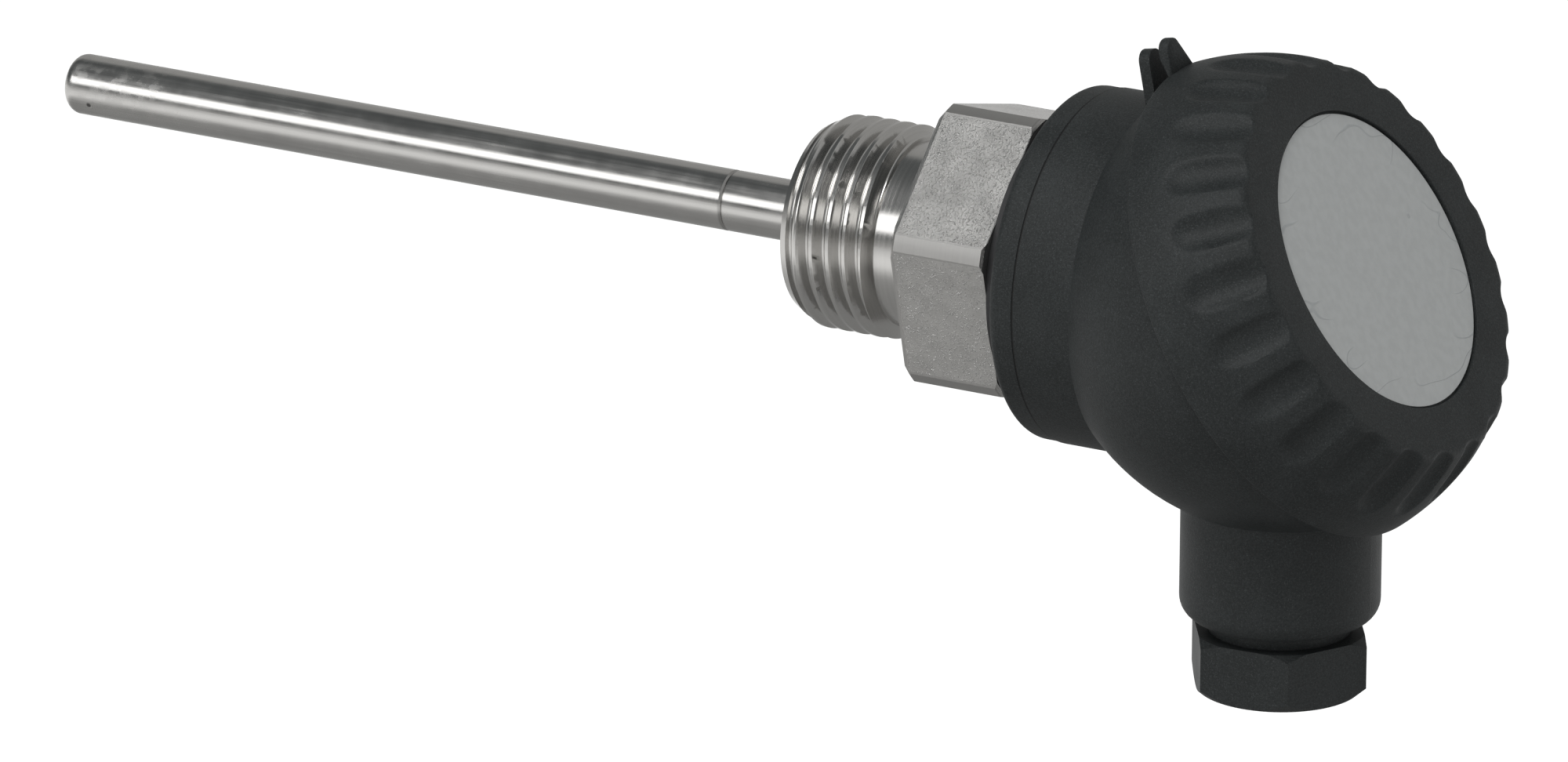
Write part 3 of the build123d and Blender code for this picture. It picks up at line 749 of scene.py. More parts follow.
@dataclass(frozen=True)
class LabelFilm(Finish):
    """Bare matt film, a little creased near its edge, in millimetres.

    Attributes:
        axes: The cap's directions.
        colour: The film's colour.
        shade: How dark its clouds are beside that.
        gloss: The roughness.
        shine: How strongly it mirrors.
        creases: Creases for each millimetre along the three axes.
        crease_edge: The noise between which a crease fades.
        crease_radii: The radii between which the creases set in.
        crease_shade_and_speck_colour: The painted shade in the creases, which is also the speck's
            colour.
        speck_at: Where a small speck lies on it.
        speck_edge: The radii between which it fades.
        relief: How high a crease stands.
    """

    name: str = "label_film"
    axes: HeadAxes = HeadAxes()
    colour: Colour = (0.495, 0.508, 0.506)
    shade: float = 0.93
    gloss: float = 0.46
    shine: float = 0.4
    creases: Place = (0.34, 0.12, 0.26)
    crease_edge: Span = (0.012, 0.003)
    crease_radii: Span = (11.5, 13.0)
    crease_shade_and_speck_colour: Colour = (0.3, 0.32, 0.33)
    speck_at: Place = (43.6, 8.6, 7.4)
    speck_edge: Span = (0.32, 0.2)
    relief: float = 0.02

    def paint(self, s: Surface) -> None:
        """Paints the weave, the creases with painted shade in them, and the speck.

        Args:
            s: The surface.
        """
        sine, cosine = sine_cosine(self.axes.tilt)
        radius = s.off_axis(s.z * cosine - (s.x - self.axes.centre) * sine, s.y)
        cloud = s.noise(s.place, 1.1, 5.0)
        weave = s.noise(s.place, 7.0, 2.0)
        crease = s.noise(s.scaled(s.place, self.creases), detail=0.6)
        line = s.band(crease, 0.5, self.crease_edge) * s.between(radius, *self.crease_radii)
        line = s.math("MAXIMUM", line, s.spot(self.speck_at, self.speck_edge))
        base = s.tint(s.between(cloud, 0.3, 0.7), darker(self.colour, self.shade), self.colour)
        # Painted shade: the creases are tinted darker, and the speck takes the same colour.
        s.set(
            base_color=s.tint(line * 0.4, base, self.crease_shade_and_speck_colour),
            roughness=weave * 0.1 + self.gloss,
            specular_ior_level=self.shine,
        )
        s.relief(weave * 0.3 + line, self.relief)


@dataclass(frozen=True)
class Rubber(Finish):
    """Smooth black sealing rubber with a dull bloom.

    Attributes:
        colour: The rubber's colour.
        bloom: The bloom's colour.
        gloss: The roughness.
        relief: The depth of its skin, in millimetres.
    """

    name: str = "sealing_rubber"
    colour: Colour = (0.018, 0.018, 0.019)
    bloom: Colour = (0.034, 0.034, 0.036)
    gloss: float = 0.5
    relief: float = 0.01

    def paint(self, s: Surface) -> None:
        """Paints the bloom.

        Args:
            s: The surface.
        """
        bloom = s.noise(s.place, 0.8, 4.0)
        s.set(
            base_color=s.tint(s.between(bloom, 0.4, 0.8), self.colour, self.bloom),
            roughness=bloom * 0.25 + self.gloss,
        )
        s.relief(s.noise(s.place, 6.0), self.relief)


@dataclass(frozen=True)
class PlainMetal(Finish):
    """Plated or bare metal of small parts, with the marks of its making.

    Attributes:
        colour: What it reflects.
        gloss: The roughness.
        marks: Marks for each millimetre.
        shade: How dark its clouds are beside the colour.
        relief: The depth of the marks, in millimetres.
    """

    colour: Colour
    gloss: float = 0.28
    marks: float = 3.0
    shade: float = 0.78
    relief: float = 0.008

    def paint(self, s: Surface) -> None:
        """Paints the clouds and the marks.

        Args:
            s: The surface.
        """
        cloud = s.noise(s.place, self.marks / 4, 4.0)
        mark = s.noise(s.scaled(s.place, (1.0, 3.0, 1.0)), self.marks, 3.0)
        dark = darker(self.colour, self.shade)
        s.set(
            base_color=s.tint(s.between(cloud, 0.3, 0.7), dark, self.colour),
            metallic=1.0,
            roughness=mark * 0.18 + self.gloss,
        )
        s.relief(mark, self.relief)


@dataclass(frozen=True)
class FiredOrCast(Finish):
    """Ceramic, resin, paste or insulation: a dull body with fine pores or threads.

    Attributes:
        colour: The body's colour.
        gloss: The roughness.
        pores: Pores for each millimetre.
        stretch: How far the pores are drawn out along the probe, as on spun fibres.
        shade: How dark its hollows are beside the colour.
        relief: The depth of the pores, in millimetres.
    """

    colour: Colour
    gloss: float = 0.5
    pores: float = 4.0
    stretch: float = 1.0
    shade: float = 0.8
    relief: float = 0.015

    def paint(self, s: Surface) -> None:
        """Paints the pores and the clouds.

        Args:
            s: The surface.
        """
        pore = s.noise(s.scaled(s.place, (1 / self.stretch, 1.0, 1.0)), self.pores, 3.0)
        cloud = s.noise(s.place, 0.6, 3.0)
        dark = darker(self.colour, self.shade)
        s.set(
            base_color=s.tint(s.between(pore + cloud, 0.75, 1.15), dark, self.colour),
            roughness=pore * 0.15 + self.gloss,
        )
        s.relief(pore, self.relief)


def dress(finish: Finish, *nodes: str) -> None:
    """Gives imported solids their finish.

    Args:
        finish: The finish.
        *nodes: The names of the solids.
    """
    for name in nodes:
        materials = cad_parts[name].data.materials
        materials.clear()
        materials.append(finish.material())
        log.info("%s is dressed in %s", name, finish.material().name)


@dataclass
class Probe:
    """The sheath and what lies in it.

    Attributes:
        steel: The sheath's finish.
        chip: The sensing chip's.
        fibre: The finish of the sleeve round the chip.
        paste: The filling's.
        resin: The plug's at the sheath's mouth.
        insulation: The leads'.
    """

    steel: DrawnSteel = DrawnSteel()
    chip: FiredOrCast = FiredOrCast("chip_ceramic", (0.82, 0.82, 0.79), 0.35, 8.0)
    fibre: FiredOrCast = FiredOrCast("sleeve_fibre", (0.74, 0.71, 0.61), 0.7, 6.0, 3.0)
    paste: FiredOrCast = FiredOrCast("heat_paste", (0.7, 0.7, 0.66), 0.6)
    resin: FiredOrCast = FiredOrCast("potting_resin", (0.06, 0.055, 0.05), 0.3, 2.0)
    insulation: FiredOrCast = FiredOrCast("lead_insulation", (0.78, 0.75, 0.7), 0.6, 5.0, 4.0)

    def build(self) -> None:
        """Dresses the sheath, the sensing chip and the leads."""
        dress(self.steel, "sheath_tube")
        dress(self.chip, "sensing_chip")
        dress(self.fibre, "chip_sleeve")
        dress(self.paste, "heat_filling")
        dress(self.resin, "sheath_potting")
        dress(self.insulation, "lead_wire_a", "lead_wire_b")


@dataclass(frozen=True)
class PipeThread:
    """A right-handed pipe thread of 55 degrees, in millimetres.

    Attributes:
        crest_radius: The radius over the crests.
        pitch: The advance of one turn.
        crest_width: The width of the flat on top of a crest.
        root_round: The radius in the bottom of the groove.
        flank: Half the angle between the flanks, in degrees.
        edge_break: The depth of the broken edges of the crests.
        start: Where the groove begins along the probe.
        end: Where it runs out, in the relief.
        steps: The cutter's stations in one turn.
        clear: How far the cutter stands over the crests.
        relief_radius: The radius of the relief's floor.
        relief_start: Where the relief's floor begins along the probe.
        relief_end: Where the cutter of the relief ends, in its corner.
        relief_round: The radius of its corner at the hexagon.
        round_steps: Stations along that corner.
        relief_steps: Stations round the relief.
        sunk: How deep the corner's ring goes under the relief's floor.
        overlap: How far it goes into the hexagon.
        sharp: The angle above which an edge stays crisp, in degrees.
    """

    crest_radius: float = 10.4775
    pitch: float = 1.814
    crest_width: float = 0.36
    root_round: float = 0.25
    flank: float = 27.5
    edge_break: float = 0.045
    start: float = -16.575
    end: float = -2.5
    steps: int = 120
    clear: float = 0.1
    relief_radius: float = 9.14
    relief_start: float = -4.9
    relief_end: float = -0.88
    relief_round: float = 1.3
    round_steps: int = 12
    relief_steps: int = 180
    sunk: float = 0.3
    overlap: float = 0.2
    sharp: float = 20.0

    def path(self, s: Shape) -> Socket:
        """Winds the path of the cutter over the crests.

        Args:
            s: The tree.

        Returns:
            The path.
        """
        stations = round((self.end - self.start) / self.pitch * self.steps) + 1
        ends = {"Start": (0.0, 0.0, 0.0), "End": (1.0, 0.0, 0.0)}
        line = s.add("GeometryNodeCurvePrimitiveLine", ends).outputs[0]
        line = s.add("GeometryNodeResampleCurve", {"Curve": line, "Count": stations}).outputs[0]
        reach = s.read("GeometryNodeSplineParameter", "Factor") * (s["End"] - s["Start"])
        angle = reach / s["Pitch"] * math.tau
        side = s.math("COSINE", angle) * s["Crest Radius"]
        up = s.math("SINE", angle) * s["Crest Radius"]
        wound = s.moved(line, s.joined(s["Start"] + reach, side, up))
        upright = {"Curve": wound, "Normal": (1.0, 0.0, 0.0)}
        return s.add("GeometryNodeSetCurveNormal", upright, mode="FREE").outputs[0]

    def cutter(
        self, s: Shape, path: Socket, floor: float, depth: float, slope: float, root: float
    ) -> Socket:
        """Sweeps one cutter along the path.

        Args:
            s: The tree.
            path: The path over the crests.
            floor: Half the width of the cutter's floor.
            depth: How deep the floor lies.
            slope: How far a side leans out for each unit of height.
            root: The radius in the floor's first corner.

        Returns:
            The cutter.
        """
        top = floor + (depth + self.clear) * slope
        corners = [(-floor, -depth), (floor, -depth), (top, self.clear), (-top, self.clear)]
        if floor == 0.0:
            just_short = 0.999
            corners[1] = (top * just_short, self.clear * just_short)
        outline = s.add("GeometryNodeCurvePrimitiveQuadrilateral", mode="POINTS")
        for i, (x, y) in enumerate(corners, 1):
            s.feed(outline.inputs[f"Point {i}"], (x * MM, y * MM, 0.0))
        profile = outline.outputs[0]
        if root:
            first = s.math("LESS_THAN", s.read("GeometryNodeInputIndex"), 0.5)
            rounding = {"Curve": profile, "Count": 8, "Radius": first * (root * MM)}
            profile = s.add("GeometryNodeFilletCurve", rounding, mode="POLY").outputs[0]
        sweep = {"Curve": path, "Profile Curve": profile, "Fill Caps": True}
        return s.add("GeometryNodeCurveToMesh", sweep).outputs[0]

    def corner(self) -> bpy.types.Object:
        """Turns the rounded corner between the relief and the hexagon.

        Returns:
            A helper object with the corner.
        """
        radius, low = self.relief_round, self.relief_radius
        arc = [(-along, low + out) for along, out in rounded(radius, self.round_steps)]
        under = [(self.overlap, low + radius), (self.overlap, low - self.sunk)]
        return self.turned("relief_corner", [(-radius, low - self.sunk), *arc, *under])

    def run_out(self) -> bpy.types.Object:
        """Turns the cutter that takes the last crest away over the relief.

        Returns:
            A helper object with the cutter.
        """
        low, high = self.relief_radius, self.crest_radius + self.clear
        lean = math.tan(math.radians(self.flank))
        first, last = self.relief_start, self.relief_end
        section = [(first, low), (last, low), (last, high), (first - (high - low) * lean, high)]
        return self.turned("relief_cutter", section)

    def turned(self, name: str, section: Sequence[Span]) -> bpy.types.Object:
        """Turns a section round the probe.

        Args:
            name: The helper's name.
            section: Its places along the probe and out from its axis.

        Returns:
            A helper object with the ring.
        """
        body = bmesh.new()
        ring = [body.verts.new((x * MM, y * MM, 0.0)) for x, y in section]
        edges = [body.edges.new((ring[i - 1], ring[i])) for i in range(len(ring))]
        bmesh.ops.spin(
            body,
            geom=[*ring, *edges],
            cent=(0.0, 0.0, 0.0),
            axis=(1.0, 0.0, 0.0),
            angle=math.tau,
            steps=self.relief_steps,
            use_merge=True,
        )
        bmesh.ops.remove_doubles(body, verts=body.verts, dist=WELD)
        bmesh.ops.recalc_face_normals(body, faces=body.faces)
        return placed(name, settle(body, bpy.data.meshes.new(name)))

    def cut(self, blank: bpy.types.Mesh, material: bpy.types.Material) -> bpy.types.Mesh:
        """Cuts the thread into a blank.

        Args:
            blank: The fitting with a plain cylinder over its crests.
            material: What the fitting is made of.

        Returns:
            The fitting with its thread.
        """
        corner, run_out = self.corner(), self.run_out()
        sizes = {
            "Relief Corner": corner,
            "Relief Cutter": run_out,
            "Pitch": self.pitch * MM,
            "Crest Radius": self.crest_radius * MM,
            "Start": self.start * MM,
            "End": self.end * MM,
        }
        s = Shape("pipe_thread", **sizes)
        path = self.path(s)
        lean = math.tan(math.radians(self.flank))
        mouth = (self.pitch - self.crest_width) / 2
        groove = self.cutter(s, path, 0.0, mouth / lean, lean, self.root_round)
        narrowed = mouth - self.edge_break * lean
        edges = self.cutter(s, path, narrowed, self.edge_break, 1.0, 0.0)
        made = s.blank
        for cutter in (groove, edges, s.helper("Relief Cutter")):
            made = s.boolean(Join.CUT, made, cutter)
        made = s.boolean(Join.WHOLE, made, s.helper("Relief Corner"))
        mesh = crisp(s.finished(made, blank, material), self.sharp)
        bpy.data.objects.remove(corner)
        bpy.data.objects.remove(run_out)
        return mesh


@dataclass
class Connection:
    """The pipe fitting with its gasket, washer and nut.

    Attributes:
        steel: The fitting's finish.
        thread: Its pipe thread.
        plated: The finish of the washer and the nut.
        rubber: The gasket's.
    """

    steel: TurnedSteel = TurnedSteel()
    thread: PipeThread = PipeThread()
    plated: PlainMetal = PlainMetal("zinc_plate", (0.5, 0.5, 0.49))
    rubber: Rubber = Rubber()

    def build(self) -> None:
        """Cuts the fitting's thread and dresses what clamps the head on it."""
        fitting = self.thread.cut(welded("process_fitting"), self.steel.material())
        piece("threaded_fitting", fitting, "probe", Slot.FITTING_STEEL, "process_fitting")
        dress(self.rubber, "base_gasket")
        dress(self.plated, "lock_washer", "lock_nut")


@dataclass(frozen=True)
class SealingLug:
    """A leaning lug that takes a sealing wire, in millimetres.

    Attributes:
        lean: Its lean against the cap's axis, in degrees.
        thickness: Its thickness.
        near_side: The reach of its steep side.
        far_side: The reach of its sloping side.
        flat: The width of its top.
        slope_drop: How far the slope drops.
        reach: How deep it goes into what carries it.
        corner: The radius of its top's corners.
        corner_steps: Stations round such a corner.
        edge: The width of its rounded edges.
        edge_steps: Stations across them.
        sharp: The angle above which an edge is rounded, in degrees.
    """

    lean: float = 19.0
    thickness: float = 1.15
    near_side: float = 2.5
    far_side: float = 2.0
    flat: float = 0.75
    slope_drop: float = 3.4
    reach: float = 6.2
    corner: float = 1.1
    corner_steps: int = 6
    edge: float = 0.22
    edge_steps: int = 3
    sharp: float = 60.0

    def mesh(self, up: float, out: float, rim: float) -> bpy.types.Mesh:
        """Makes the lug in the cap's own directions.

        Args:
            up: How far its top lies from the cap's axis.
            out: How far its near face lies out of the head's centre, at its top.
            rim: The height below which nothing of it is left.

        Returns:
            The lug.
        """
        sine, cosine = sine_cosine(self.lean)
        body = bmesh.new()
        near, far = [], []
        for deep, face in ((0.0, near), (self.thickness, far)):
            for side, high in self.outline():
                across = up - sine * deep + cosine * high
                along = out + cosine * deep + sine * high
                face.append(body.verts.new(Vector((across, side, along)) * MM))
        body.faces.new(near)
        body.faces.new(reversed(far))
        for i in range(len(near)):
            body.faces.new((near[i], near[i - 1], far[i - 1], far[i]))
        bmesh.ops.recalc_face_normals(body, faces=body.faces)
        rims = [e for e in body.edges if e.calc_face_angle(0.0) > math.radians(self.sharp)]
        bmesh.ops.bevel(
            body,
            geom=rims,
            offset=self.edge * MM,
            offset_type="OFFSET",
            segments=self.edge_steps,
            affect="EDGES",
            profile=0.5,
        )
        cut = bmesh.ops.bisect_plane(
            body,
            geom=[*body.verts, *body.edges, *body.faces],
            plane_co=(0.0, 0.0, rim * MM),
            plane_no=(0.0, 0.0, -1.0),
            clear_outer=True,
        )
        edges = [e for e in cut["geom_cut"] if isinstance(e, bmesh.types.BMEdge)]
        bmesh.ops.holes_fill(body, edges=edges)
        bmesh.ops.recalc_face_normals(body, faces=body.faces)
        return settle(body, bpy.data.meshes.new("sealing_lug"))

    def outline(self) -> list[Span]:
        """Walks round the lug's face.

        Returns:
            Places sideways and up from the middle of its top.
        """
        near, far = -self.near_side, self.far_side
        top_end = near + self.corner + self.flat
        slope = math.atan2(self.slope_drop, far - top_end)
        inset = self.corner * math.tan(slope / 2)
        upright = math.pi / 2
        points = [(near, -self.reach)]
        points += self.arc((near + self.corner, -self.corner), math.pi, upright)
        points += self.arc((top_end - inset, -self.corner), upright, upright - slope)
        return [*points, (far, -self.slope_drop), (far, -self.reach)]

    def arc(self, middle: Span, start: float, end: float) -> list[Span]:
        """Walks along a rounded corner of the top.

        Args:
            middle: The middle of the corner's circle.
            start: The angle at which it begins, in radians.
            end: The angle at which it ends.

        Returns:
            The places on the way.
        """
        (x, y), radius, steps = middle, self.corner, self.corner_steps
        turns = [start + (end - start) * i / steps for i in range(steps + 1)]
        return [(x + radius * math.cos(a), y + radius * math.sin(a)) for a in turns]


@dataclass(frozen=True)
class FlutedCap:
    """The crowned screw cap with its scooped flutes, in millimetres out of the head's centre.

    Attributes:
        rim: The height of the cap's rim.
        top: The height of its top.
        rim_radius: The radius at the rim.
        crown_end: Radius and height where the crown meets the edge of the top.
        edge_lean: How far the edge of the top leans in for each unit of height.
        recess: Radius and depth of the label's recess.
        bore: Radius of the bore over the spigot.
        shoulder: The height of the shoulder that presses on the gasket.
        mouth: Radius of the room behind the shoulder.
        ceiling: The height of the ceiling inside.
        flutes: The number of flutes.
        flute_radius: The radius of the round cutter.
        flute_floor: The radius of a flute's floor at the top.
        flute_end: The height at which a flute's round end begins.
        flute_depth: Its depth there.
        flute_phase: The turn of the first flute from the cap's up direction, in degrees.
        flute_least: The least half width of a flute, as a share of the cutter's radius.
        ridge_softness: How widely a flute's edge is rounded.
        top_round: The radius of the ridges' corner at the top.
        edge_round: The radius of the flutes' edge at the top, and of the rim.
        edge_steps: Stations round such an edge.
        columns: Stations round the cap for each flute.
        row: The height between two rows of stations.
        lug: The sealing lug.
        lug_gap: How far the lug ends above the rim.
    """

    rim: float = 0.5
    top: float = 11.5
    rim_radius: float = 24.3
    crown_end: Span = (20.65, 10.6)
    edge_lean: float = 0.5
    recess: Span = (15.05, 0.45)
    bore: float = 20.26
    shoulder: float = 6.75
    mouth: float = 18.2
    ceiling: float = 9.3
    flutes: int = 24
    flute_radius: float = 2.9
    flute_floor: float = 19.5
    flute_end: float = 6.05
    flute_depth: float = 0.74
    flute_phase: float = -2.4
    flute_least: float = 0.1
    ridge_softness: float = 0.26
    top_round: float = 0.6
    edge_round: float = 0.22
    edge_steps: int = 6
    columns: int = 20
    row: float = 0.3
    lug: SealingLug = SealingLug()
    lug_gap: float = 0.02

    def crown(self, height: float) -> float:
        """Gives the crown's radius at a height.

        Args:
            height: The height.

        Returns:
            The radius.
        """
        end_radius, end_height = self.crown_end
        if height > end_height:
            return end_radius - self.edge_lean * (height - end_height)
        drop = end_height - self.rim
        centre = self.rim + drop / 2 - (self.rim_radius**2 - end_radius**2) / (2 * drop)
        sphere = self.rim_radius**2 + (self.rim - centre) ** 2
        return math.sqrt(sphere - (height - centre) ** 2)

    def section(self) -> list[Place]:
        """Walks round half the cap's section.

        Returns:
            Radius, height and later setback of each station.
        """
        radius, deep = self.recess
        fine = rounded(self.edge_round / 2, self.edge_steps)
        wide = rounded(self.edge_round, self.edge_steps)
        points = [(0.0, self.top - deep, 0.0), (radius, self.top - deep, 0.0)]
        points += [(radius + back, self.top - drop, 0.0) for drop, back in fine]
        low, high = self.rim + self.edge_round, self.top - self.edge_round
        count = round((high - low) / self.row)
        skin = [(self.top - drop, back) for drop, back in reversed(wide)]
        skin += [(high + (low - high) * i / count, 0.0) for i in range(1, count)]
        skin += [(self.rim + rise, back) for rise, back in wide]
        for height, setback in skin:
            over = max(0.0, height - (self.top - self.top_round))
            inset = self.top_round - math.sqrt(max(0.0, self.top_round**2 - over**2))
            points.append((self.crown(height) - inset, height, setback))
        inside = [
            (self.bore, self.rim),
            (self.bore, self.shoulder),
            (self.mouth, self.shoulder),
            (self.mouth, self.ceiling),
            (0.0, self.ceiling),
        ]
        return points + [(radius, height, 0.0) for radius, height in inside]

    def flute(self, s: Shape, turn: Number, height: Number) -> Number:
        """Gives the radius at which a flute's floor lies.

        The cutter is a leaning cylinder, so at each height it is an ellipse, and the
        floor is the near root of the equation for a ray that leaves the axis.

        Args:
            s: The tree.
            turn: The angle round the cap.
            height: The height out of the head's centre.

        Returns:
            The radius, or a very large one beside the flute.
        """
        end_radius = self.crown(self.flute_end) - self.flute_depth
        run, drop = end_radius - self.flute_floor, self.top - self.flute_end
        lean = math.hypot(run, drop) / drop
        past = s.math("DIVIDE", s["Flute End"] - height, s["Flute Radius"], clamp=True)
        round_end = s.math("SQRT", 1.0 - past * past)
        across = s["Flute Radius"] * s.math("MAXIMUM", round_end, self.flute_least)
        deep = across * lean
        spacing = s.math("DIVIDE", math.tau, s["Flutes"])
        away = (turn - s["Flute Phase"] + spacing * 0.5) % spacing - spacing * 0.5
        floor = s["Flute Floor"] + (s["Top"] - height) * (run / drop)
        middle = floor + s["Flute Radius"] * lean
        cosine, sine = s.math("COSINE", away), s.math("SINE", away)
        first = (cosine / deep) ** 2.0 + (sine / across) ** 2.0
        second = middle * cosine / deep**2.0
        third = (middle / deep) ** 2.0 - 1.0
        root = second**2.0 - first * third
        near = (second - s.math("SQRT", s.math("MAXIMUM", root, 0.0))) / first
        return near + s.math("LESS_THAN", root, 0.0)

    def shell(self, s: Shape, rows: int) -> Socket:
        """Bends a grid round the cap and scoops its flutes.

        Args:
            s: The tree, which works on the points of the cap's section.
            rows: The number of those points.

        Returns:
            The closed shell.
        """
        around = self.flutes * self.columns
        grid = s.add("GeometryNodeMeshGrid", {"Vertices X": around + 1, "Vertices Y": rows})
        index = s.read("GeometryNodeInputIndex")
        turn = s.math("FLOOR", index / float(rows)) * (math.tau / around)
        spot = s.add("GeometryNodeInputPosition").outputs[0]
        sample = s.add("GeometryNodeSampleIndex", data_type="FLOAT_VECTOR", domain="POINT")
        for name, value in (("Geometry", s.blank), ("Value", spot), ("Index", index % float(rows))):
            s.feed(sample.inputs[name], value)
        radius, height, setback = s.parts(sample.outputs[0])
        floor = self.flute(s, turn, height)
        radius = s.math("SMOOTH_MIN", radius, floor, s["Softness"]) - setback
        place = s.joined(radius * s.math("COSINE", turn), radius * s.math("SINE", turn), height)
        bent = s.moved(grid.outputs[0], place)
        return s.add("GeometryNodeMergeByDistance", {"Geometry": bent, "Distance": WELD}).outputs[0]

    def mesh(
        self, axes: HeadAxes, material: bpy.types.Material, lug_up: float, lug_out: float
    ) -> bpy.types.Mesh:
        """Makes the cap with its lug.

        Args:
            axes: The head's centre and directions.
            material: What the cap is made of.
            lug_up: How far the lug's top lies from the cap's axis.
            lug_out: How far it lies out of the head's centre.

        Returns:
            The cap in the part's frame.
        """
        points = self.section()
        section = bpy.data.meshes.new("cap_section")
        section.from_pydata([(r * MM, h * MM, back * MM) for r, h, back in points], [], [])
        lug = placed("cap_lug", self.lug.mesh(lug_up, lug_out, self.rim + self.lug_gap))
        sizes = {
            "Flutes": float(self.flutes),
            "Flute Radius": self.flute_radius * MM,
            "Flute Floor": self.flute_floor * MM,
            "Flute End": self.flute_end * MM,
            "Flute Phase": math.radians(self.flute_phase),
            "Top": self.top * MM,
            "Softness": self.ridge_softness * MM,
            "Lug": lug,
        }
        s = Shape("fluted_cap", **sizes)
        whole = s.boolean(Join.WHOLE, self.shell(s, len(points)), s.helper("Lug"))
        mesh = s.finished(whole, section, material)
        bpy.data.objects.remove(lug)
        mesh.transform(axes.frame())
        return crisp(mesh)


@dataclass
class Head:
    """The moulded connection head with its cap and label.

    Attributes:
        plastic: The finish of the mouldings.
        film: The finish of the label.
        rubber: The finish of the gasket.
        axes: The head's centre and directions.
        cap: The screw cap.
        ball_radius: The radius of the head's ball, in millimetres.
        lug_rise: How far the housing's lug stands over the ball.
        lug_step: How far out of the head's centre it begins.
        lug_pitch: The distance from lug to lug.
        lug_gain: How much higher the cap's lug stands.
    """

    plastic: MouldedPlastic = MouldedPlastic("head_plastic", seam_at=14.7)
    film: LabelFilm = LabelFilm()
    rubber: Rubber = Rubber()
    axes: HeadAxes = HeadAxes()
    cap: FlutedCap = FlutedCap()
    ball_radius: float = 22.4
    lug_rise: float = 5.03
    lug_step: float = -1.5
    lug_pitch: float = 2.25
    lug_gain: float = 1.0

    def build(self) -> None:
        """Makes the cap and dresses the housing and the label."""
        sine, cosine = sine_cosine(self.cap.lug.lean)
        up = self.ball_radius + self.lug_rise - sine * self.lug_pitch + cosine * self.lug_gain
        out = self.lug_step + cosine * self.lug_pitch + sine * self.lug_gain
        cap = self.cap.mesh(self.axes, self.plastic.material(), up, out)
        piece("fluted_cap", cap, "cap", Slot.HEAD_PLASTIC, "screw_cap")
        dress(self.plastic, "housing", "collar_ring")
        dress(self.film, "label_disc")
        dress(self.rubber, "cap_gasket")


@dataclass
class Gland:
    """The cable gland.

    Attributes:
        plastic: The finish of the pressure screw and its washer.
        rubber: The seal's.
    """

    plastic: MouldedPlastic = MouldedPlastic("gland_plastic", gloss=0.48, depth=0.012)
    rubber: Rubber = Rubber()

    def build(self) -> None:
        """Dresses the pressure screw, its washer and the seal."""
        dress(self.plastic, "pressure_screw", "slip_washer")
        dress(self.rubber, "gland_seal")


@dataclass
class Terminals:
    """The terminal block with its bars, plates and screws.

    Attributes:
        ceramic: The block's finish.
        brass: The bars'.
        steel: The finish of the plates and screws.
    """

    ceramic: FiredOrCast = FiredOrCast("ceramic", (0.8, 0.79, 0.74), 0.3, 3.0)
    brass: PlainMetal = PlainMetal("terminal_brass", (0.72, 0.55, 0.26), 0.25)
    steel: PlainMetal = PlainMetal("screw_steel", (0.55, 0.55, 0.54), 0.24, 5.0)

    def build(self) -> None:
        """Dresses the block and, for each pole, its bar, plate and screws."""
        dress(self.ceramic, "terminal_block")
        for pole in "ab":
            dress(self.brass, f"terminal_bar_{pole}")
            dress(self.steel, f"clamp_plate_{pole}", f"clamp_screw_{pole}", f"block_screw_{pole}")


@dataclass(frozen=True)
class SoftLamp:
    """A soft lamp with a bright rectangular face.

    Attributes:
        name: The lamp's name.
        towards: The direction from the object to the lamp.
        size: The width and height of its face.
        strength: The brightness of its face.
        distance: How far away it hangs.
    """

    name: str
    towards: Place
    size: Span
    strength: float
    distance: float = 1.5

    def hang(self) -> None:
        """Hangs the lamp so that it faces the object."""
        width, height = self.size
        data = bpy.data.lights.new(self.name, "AREA")
        data.shape = "RECTANGLE"
        data.size = width
        data.size_y = height
        data.energy = self.strength * math.pi * width * height
        towards = Vector(self.towards).normalized()
        turn = towards.to_track_quat("Z", "Y").to_matrix().to_4x4()
        placed(self.name, data).matrix_world = Matrix.Translation(towards * self.distance) @ turn


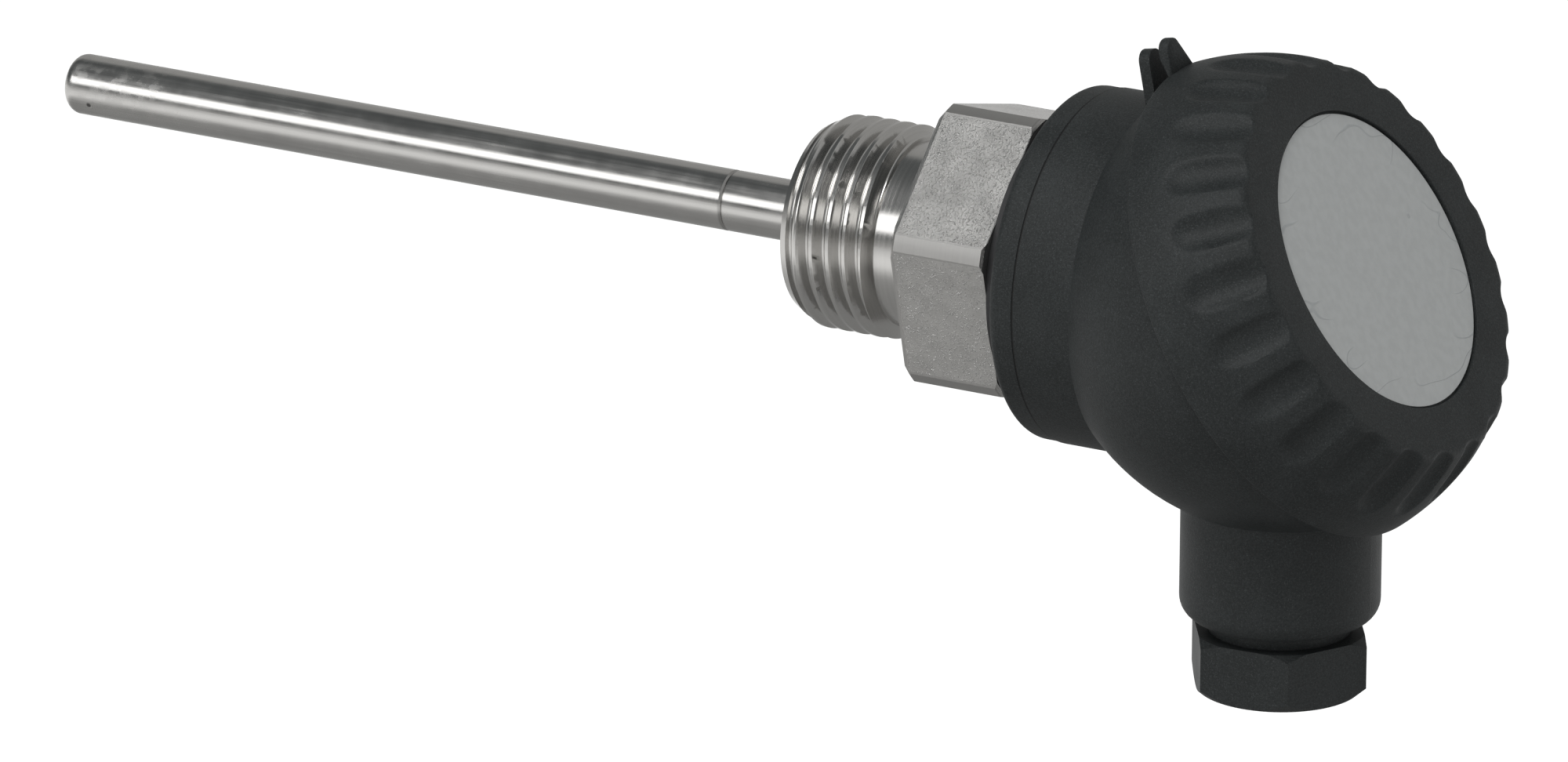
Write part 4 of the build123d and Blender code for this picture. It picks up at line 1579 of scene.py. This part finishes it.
@dataclass
class Studio:
    """The camera, the lamps, the pale room and the floor.

    Attributes:
        camera_at: Where the camera stands.
        camera_axes: Its right, up and backward directions.
        lens: Its focal length in millimetres, on a sensor of sensor_width.
        sensor_width: The sensor's width in millimetres.
        far_clip: How far the camera sees.
        lamps: The soft lamps.
        floor_drop: How far the floor lies below the part's centre line.
        floor_half: Half the floor's width.
        floor_colour: The floor's colour.
        floor_painted_shade: How dark the painted shade on the floor near the object is beside that.
        painted_shade_reach: Where that painted shade begins to fade and where it is gone, round the
            object.
        floor_glow: How brightly the camera and the metal see the floor.
        glow_reach: Where that glow begins and where it is full, round the object.
        pale_room: The room's colour behind the object and near the floor.
        dim_room: Its colour above, on the head's side.
        dark_room: Its colour above, on the tip's side.
        side_fade: The direction along X between which the dark side turns dim.
        height_fade: The direction up between which the room turns from pale to dark.
        back_fade: The direction backwards between which it does so.
    """

    camera_at: Place = (0.8196981511, -1.5104152918, 0.5618109210)
    camera_axes: tuple[Place, Place, Place] = (
        (0.87285285, 0.48792603, 0.00748979),
        (-0.16130327, 0.27400241, 0.94810545),
        (0.4605531, -0.82876467, 0.31786784),
    )
    lens: float = 430.8
    sensor_width: float = 36.0
    far_clip: float = 50.0
    lamps: tuple[SoftLamp, ...] = (
        SoftLamp("key", (-0.54, -0.75, 0.385), (0.95, 0.5), 2.9),
        SoftLamp("top", (-0.08, -0.52, 0.85), (0.7, 0.7), 6.7),
    )
    floor_drop: float = 0.32
    floor_half: float = 4.0
    floor_colour: Colour = (0.58, 0.577, 0.572)
    floor_painted_shade: float = 0.85
    painted_shade_reach: Span = (0.1, 0.5)
    floor_glow: float = 0.8
    glow_reach: Span = (0.38, 0.75)
    pale_room: Colour = (0.47, 0.468, 0.46)
    dim_room: Colour = (0.52, 0.528, 0.528)
    dark_room: Colour = (0.13, 0.138, 0.14)
    side_fade: Span = (-0.25, 0.35)
    height_fade: Span = (0.03, 0.09)
    back_fade: Span = (0.55, 0.42)

    def camera(self) -> None:
        """Places the camera at the photograph's viewing angle."""
        data = bpy.data.cameras.new("camera")
        data.lens = self.lens
        data.sensor_width = self.sensor_width
        data.sensor_fit = "HORIZONTAL"
        data.clip_end = self.far_clip
        camera = placed("camera", data)
        turn = Matrix(self.camera_axes).transposed()
        camera.matrix_world = Matrix.Translation(self.camera_at) @ turn.to_4x4()
        bpy.context.scene.camera = camera

    def room(self) -> None:
        """Lights the world: pale behind the object and near the floor, dark above and in front."""
        world = bpy.data.worlds.new("room")
        world.use_nodes = True
        bpy.context.scene.world = world
        g = Graph(world.node_tree)
        x, y, z = g.parts(g.add("ShaderNodeTexCoord").outputs["Generated"])
        above = g.tint(g.between(x, *self.side_fade), self.dark_room, self.dim_room)
        dark = g.between(z, *self.height_fade) * g.between(y, *self.back_fade)
        colour = g.tint(dark, self.pale_room, above)
        light = g.add("ShaderNodeBackground", {"Color": colour, "Strength": 1.0})
        g.add("ShaderNodeOutputWorld", {"Surface": light.outputs[0]})

    def floor(self) -> None:
        """Lays a pale floor that the camera and the metal see as white, with painted shade on it
        round the object.
        """
        mesh = bpy.data.meshes.new("floor")
        half, low = self.floor_half, -self.floor_drop
        corners = ((-half, -half), (half, -half), (half, half), (-half, half))
        mesh.from_pydata([(x, y, low) for x, y in corners], [], [(0, 1, 2, 3)])
        surface = bpy.data.materials.new("floor")
        surface.use_nodes = True
        g = Graph(surface.node_tree)
        ray = g.add("ShaderNodeLightPath")
        seen: Value = ray.outputs["Is Camera Ray"]
        for kind in ("Is Glossy Ray", "Is Transmission Ray"):
            seen = g.math("MAXIMUM", seen, ray.outputs[kind])
        level = g.scaled(g.add("ShaderNodeTexCoord").outputs["Object"], (1.0, 1.0, 0.0))
        away = g.distance(level, (0.0, 0.0, 0.0))
        # Painted shade: the floor's colour darkens towards the object.
        near = darker(self.floor_colour, self.floor_painted_shade)
        colour = g.tint(g.between(away, *self.painted_shade_reach), near, self.floor_colour)
        strength = seen * g.between(away, *self.glow_reach) * self.floor_glow
        paint = g.add("ShaderNodeBsdfDiffuse", {"Color": colour})
        white = {"Color": (1.0, 1.0, 1.0, 1.0), "Strength": strength}
        glow = g.add("ShaderNodeEmission", white)
        both = g.add("ShaderNodeAddShader", {0: paint.outputs[0], 1: glow.outputs[0]})
        g.add("ShaderNodeOutputMaterial", {"Surface": both.outputs[0]})
        mesh.materials.append(surface)
        floor = placed("floor", mesh)

    def build(self) -> None:
        """Sets up the camera, the lamps, the room and the floor."""
        self.camera()
        for lamp in self.lamps:
            lamp.hang()
        self.room()
        self.floor()
        bpy.context.scene.view_settings.view_transform = "Standard"


def main() -> None:
    """Builds the dressed part and its studio."""
    logging.basicConfig(level=logging.INFO, format="%(name)s: %(message)s")
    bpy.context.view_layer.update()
    for assembly in (Studio(), Probe(), Connection(), Head(), Gland(), Terminals()):
        assembly.build()


if __name__ == "__main__":
    main()
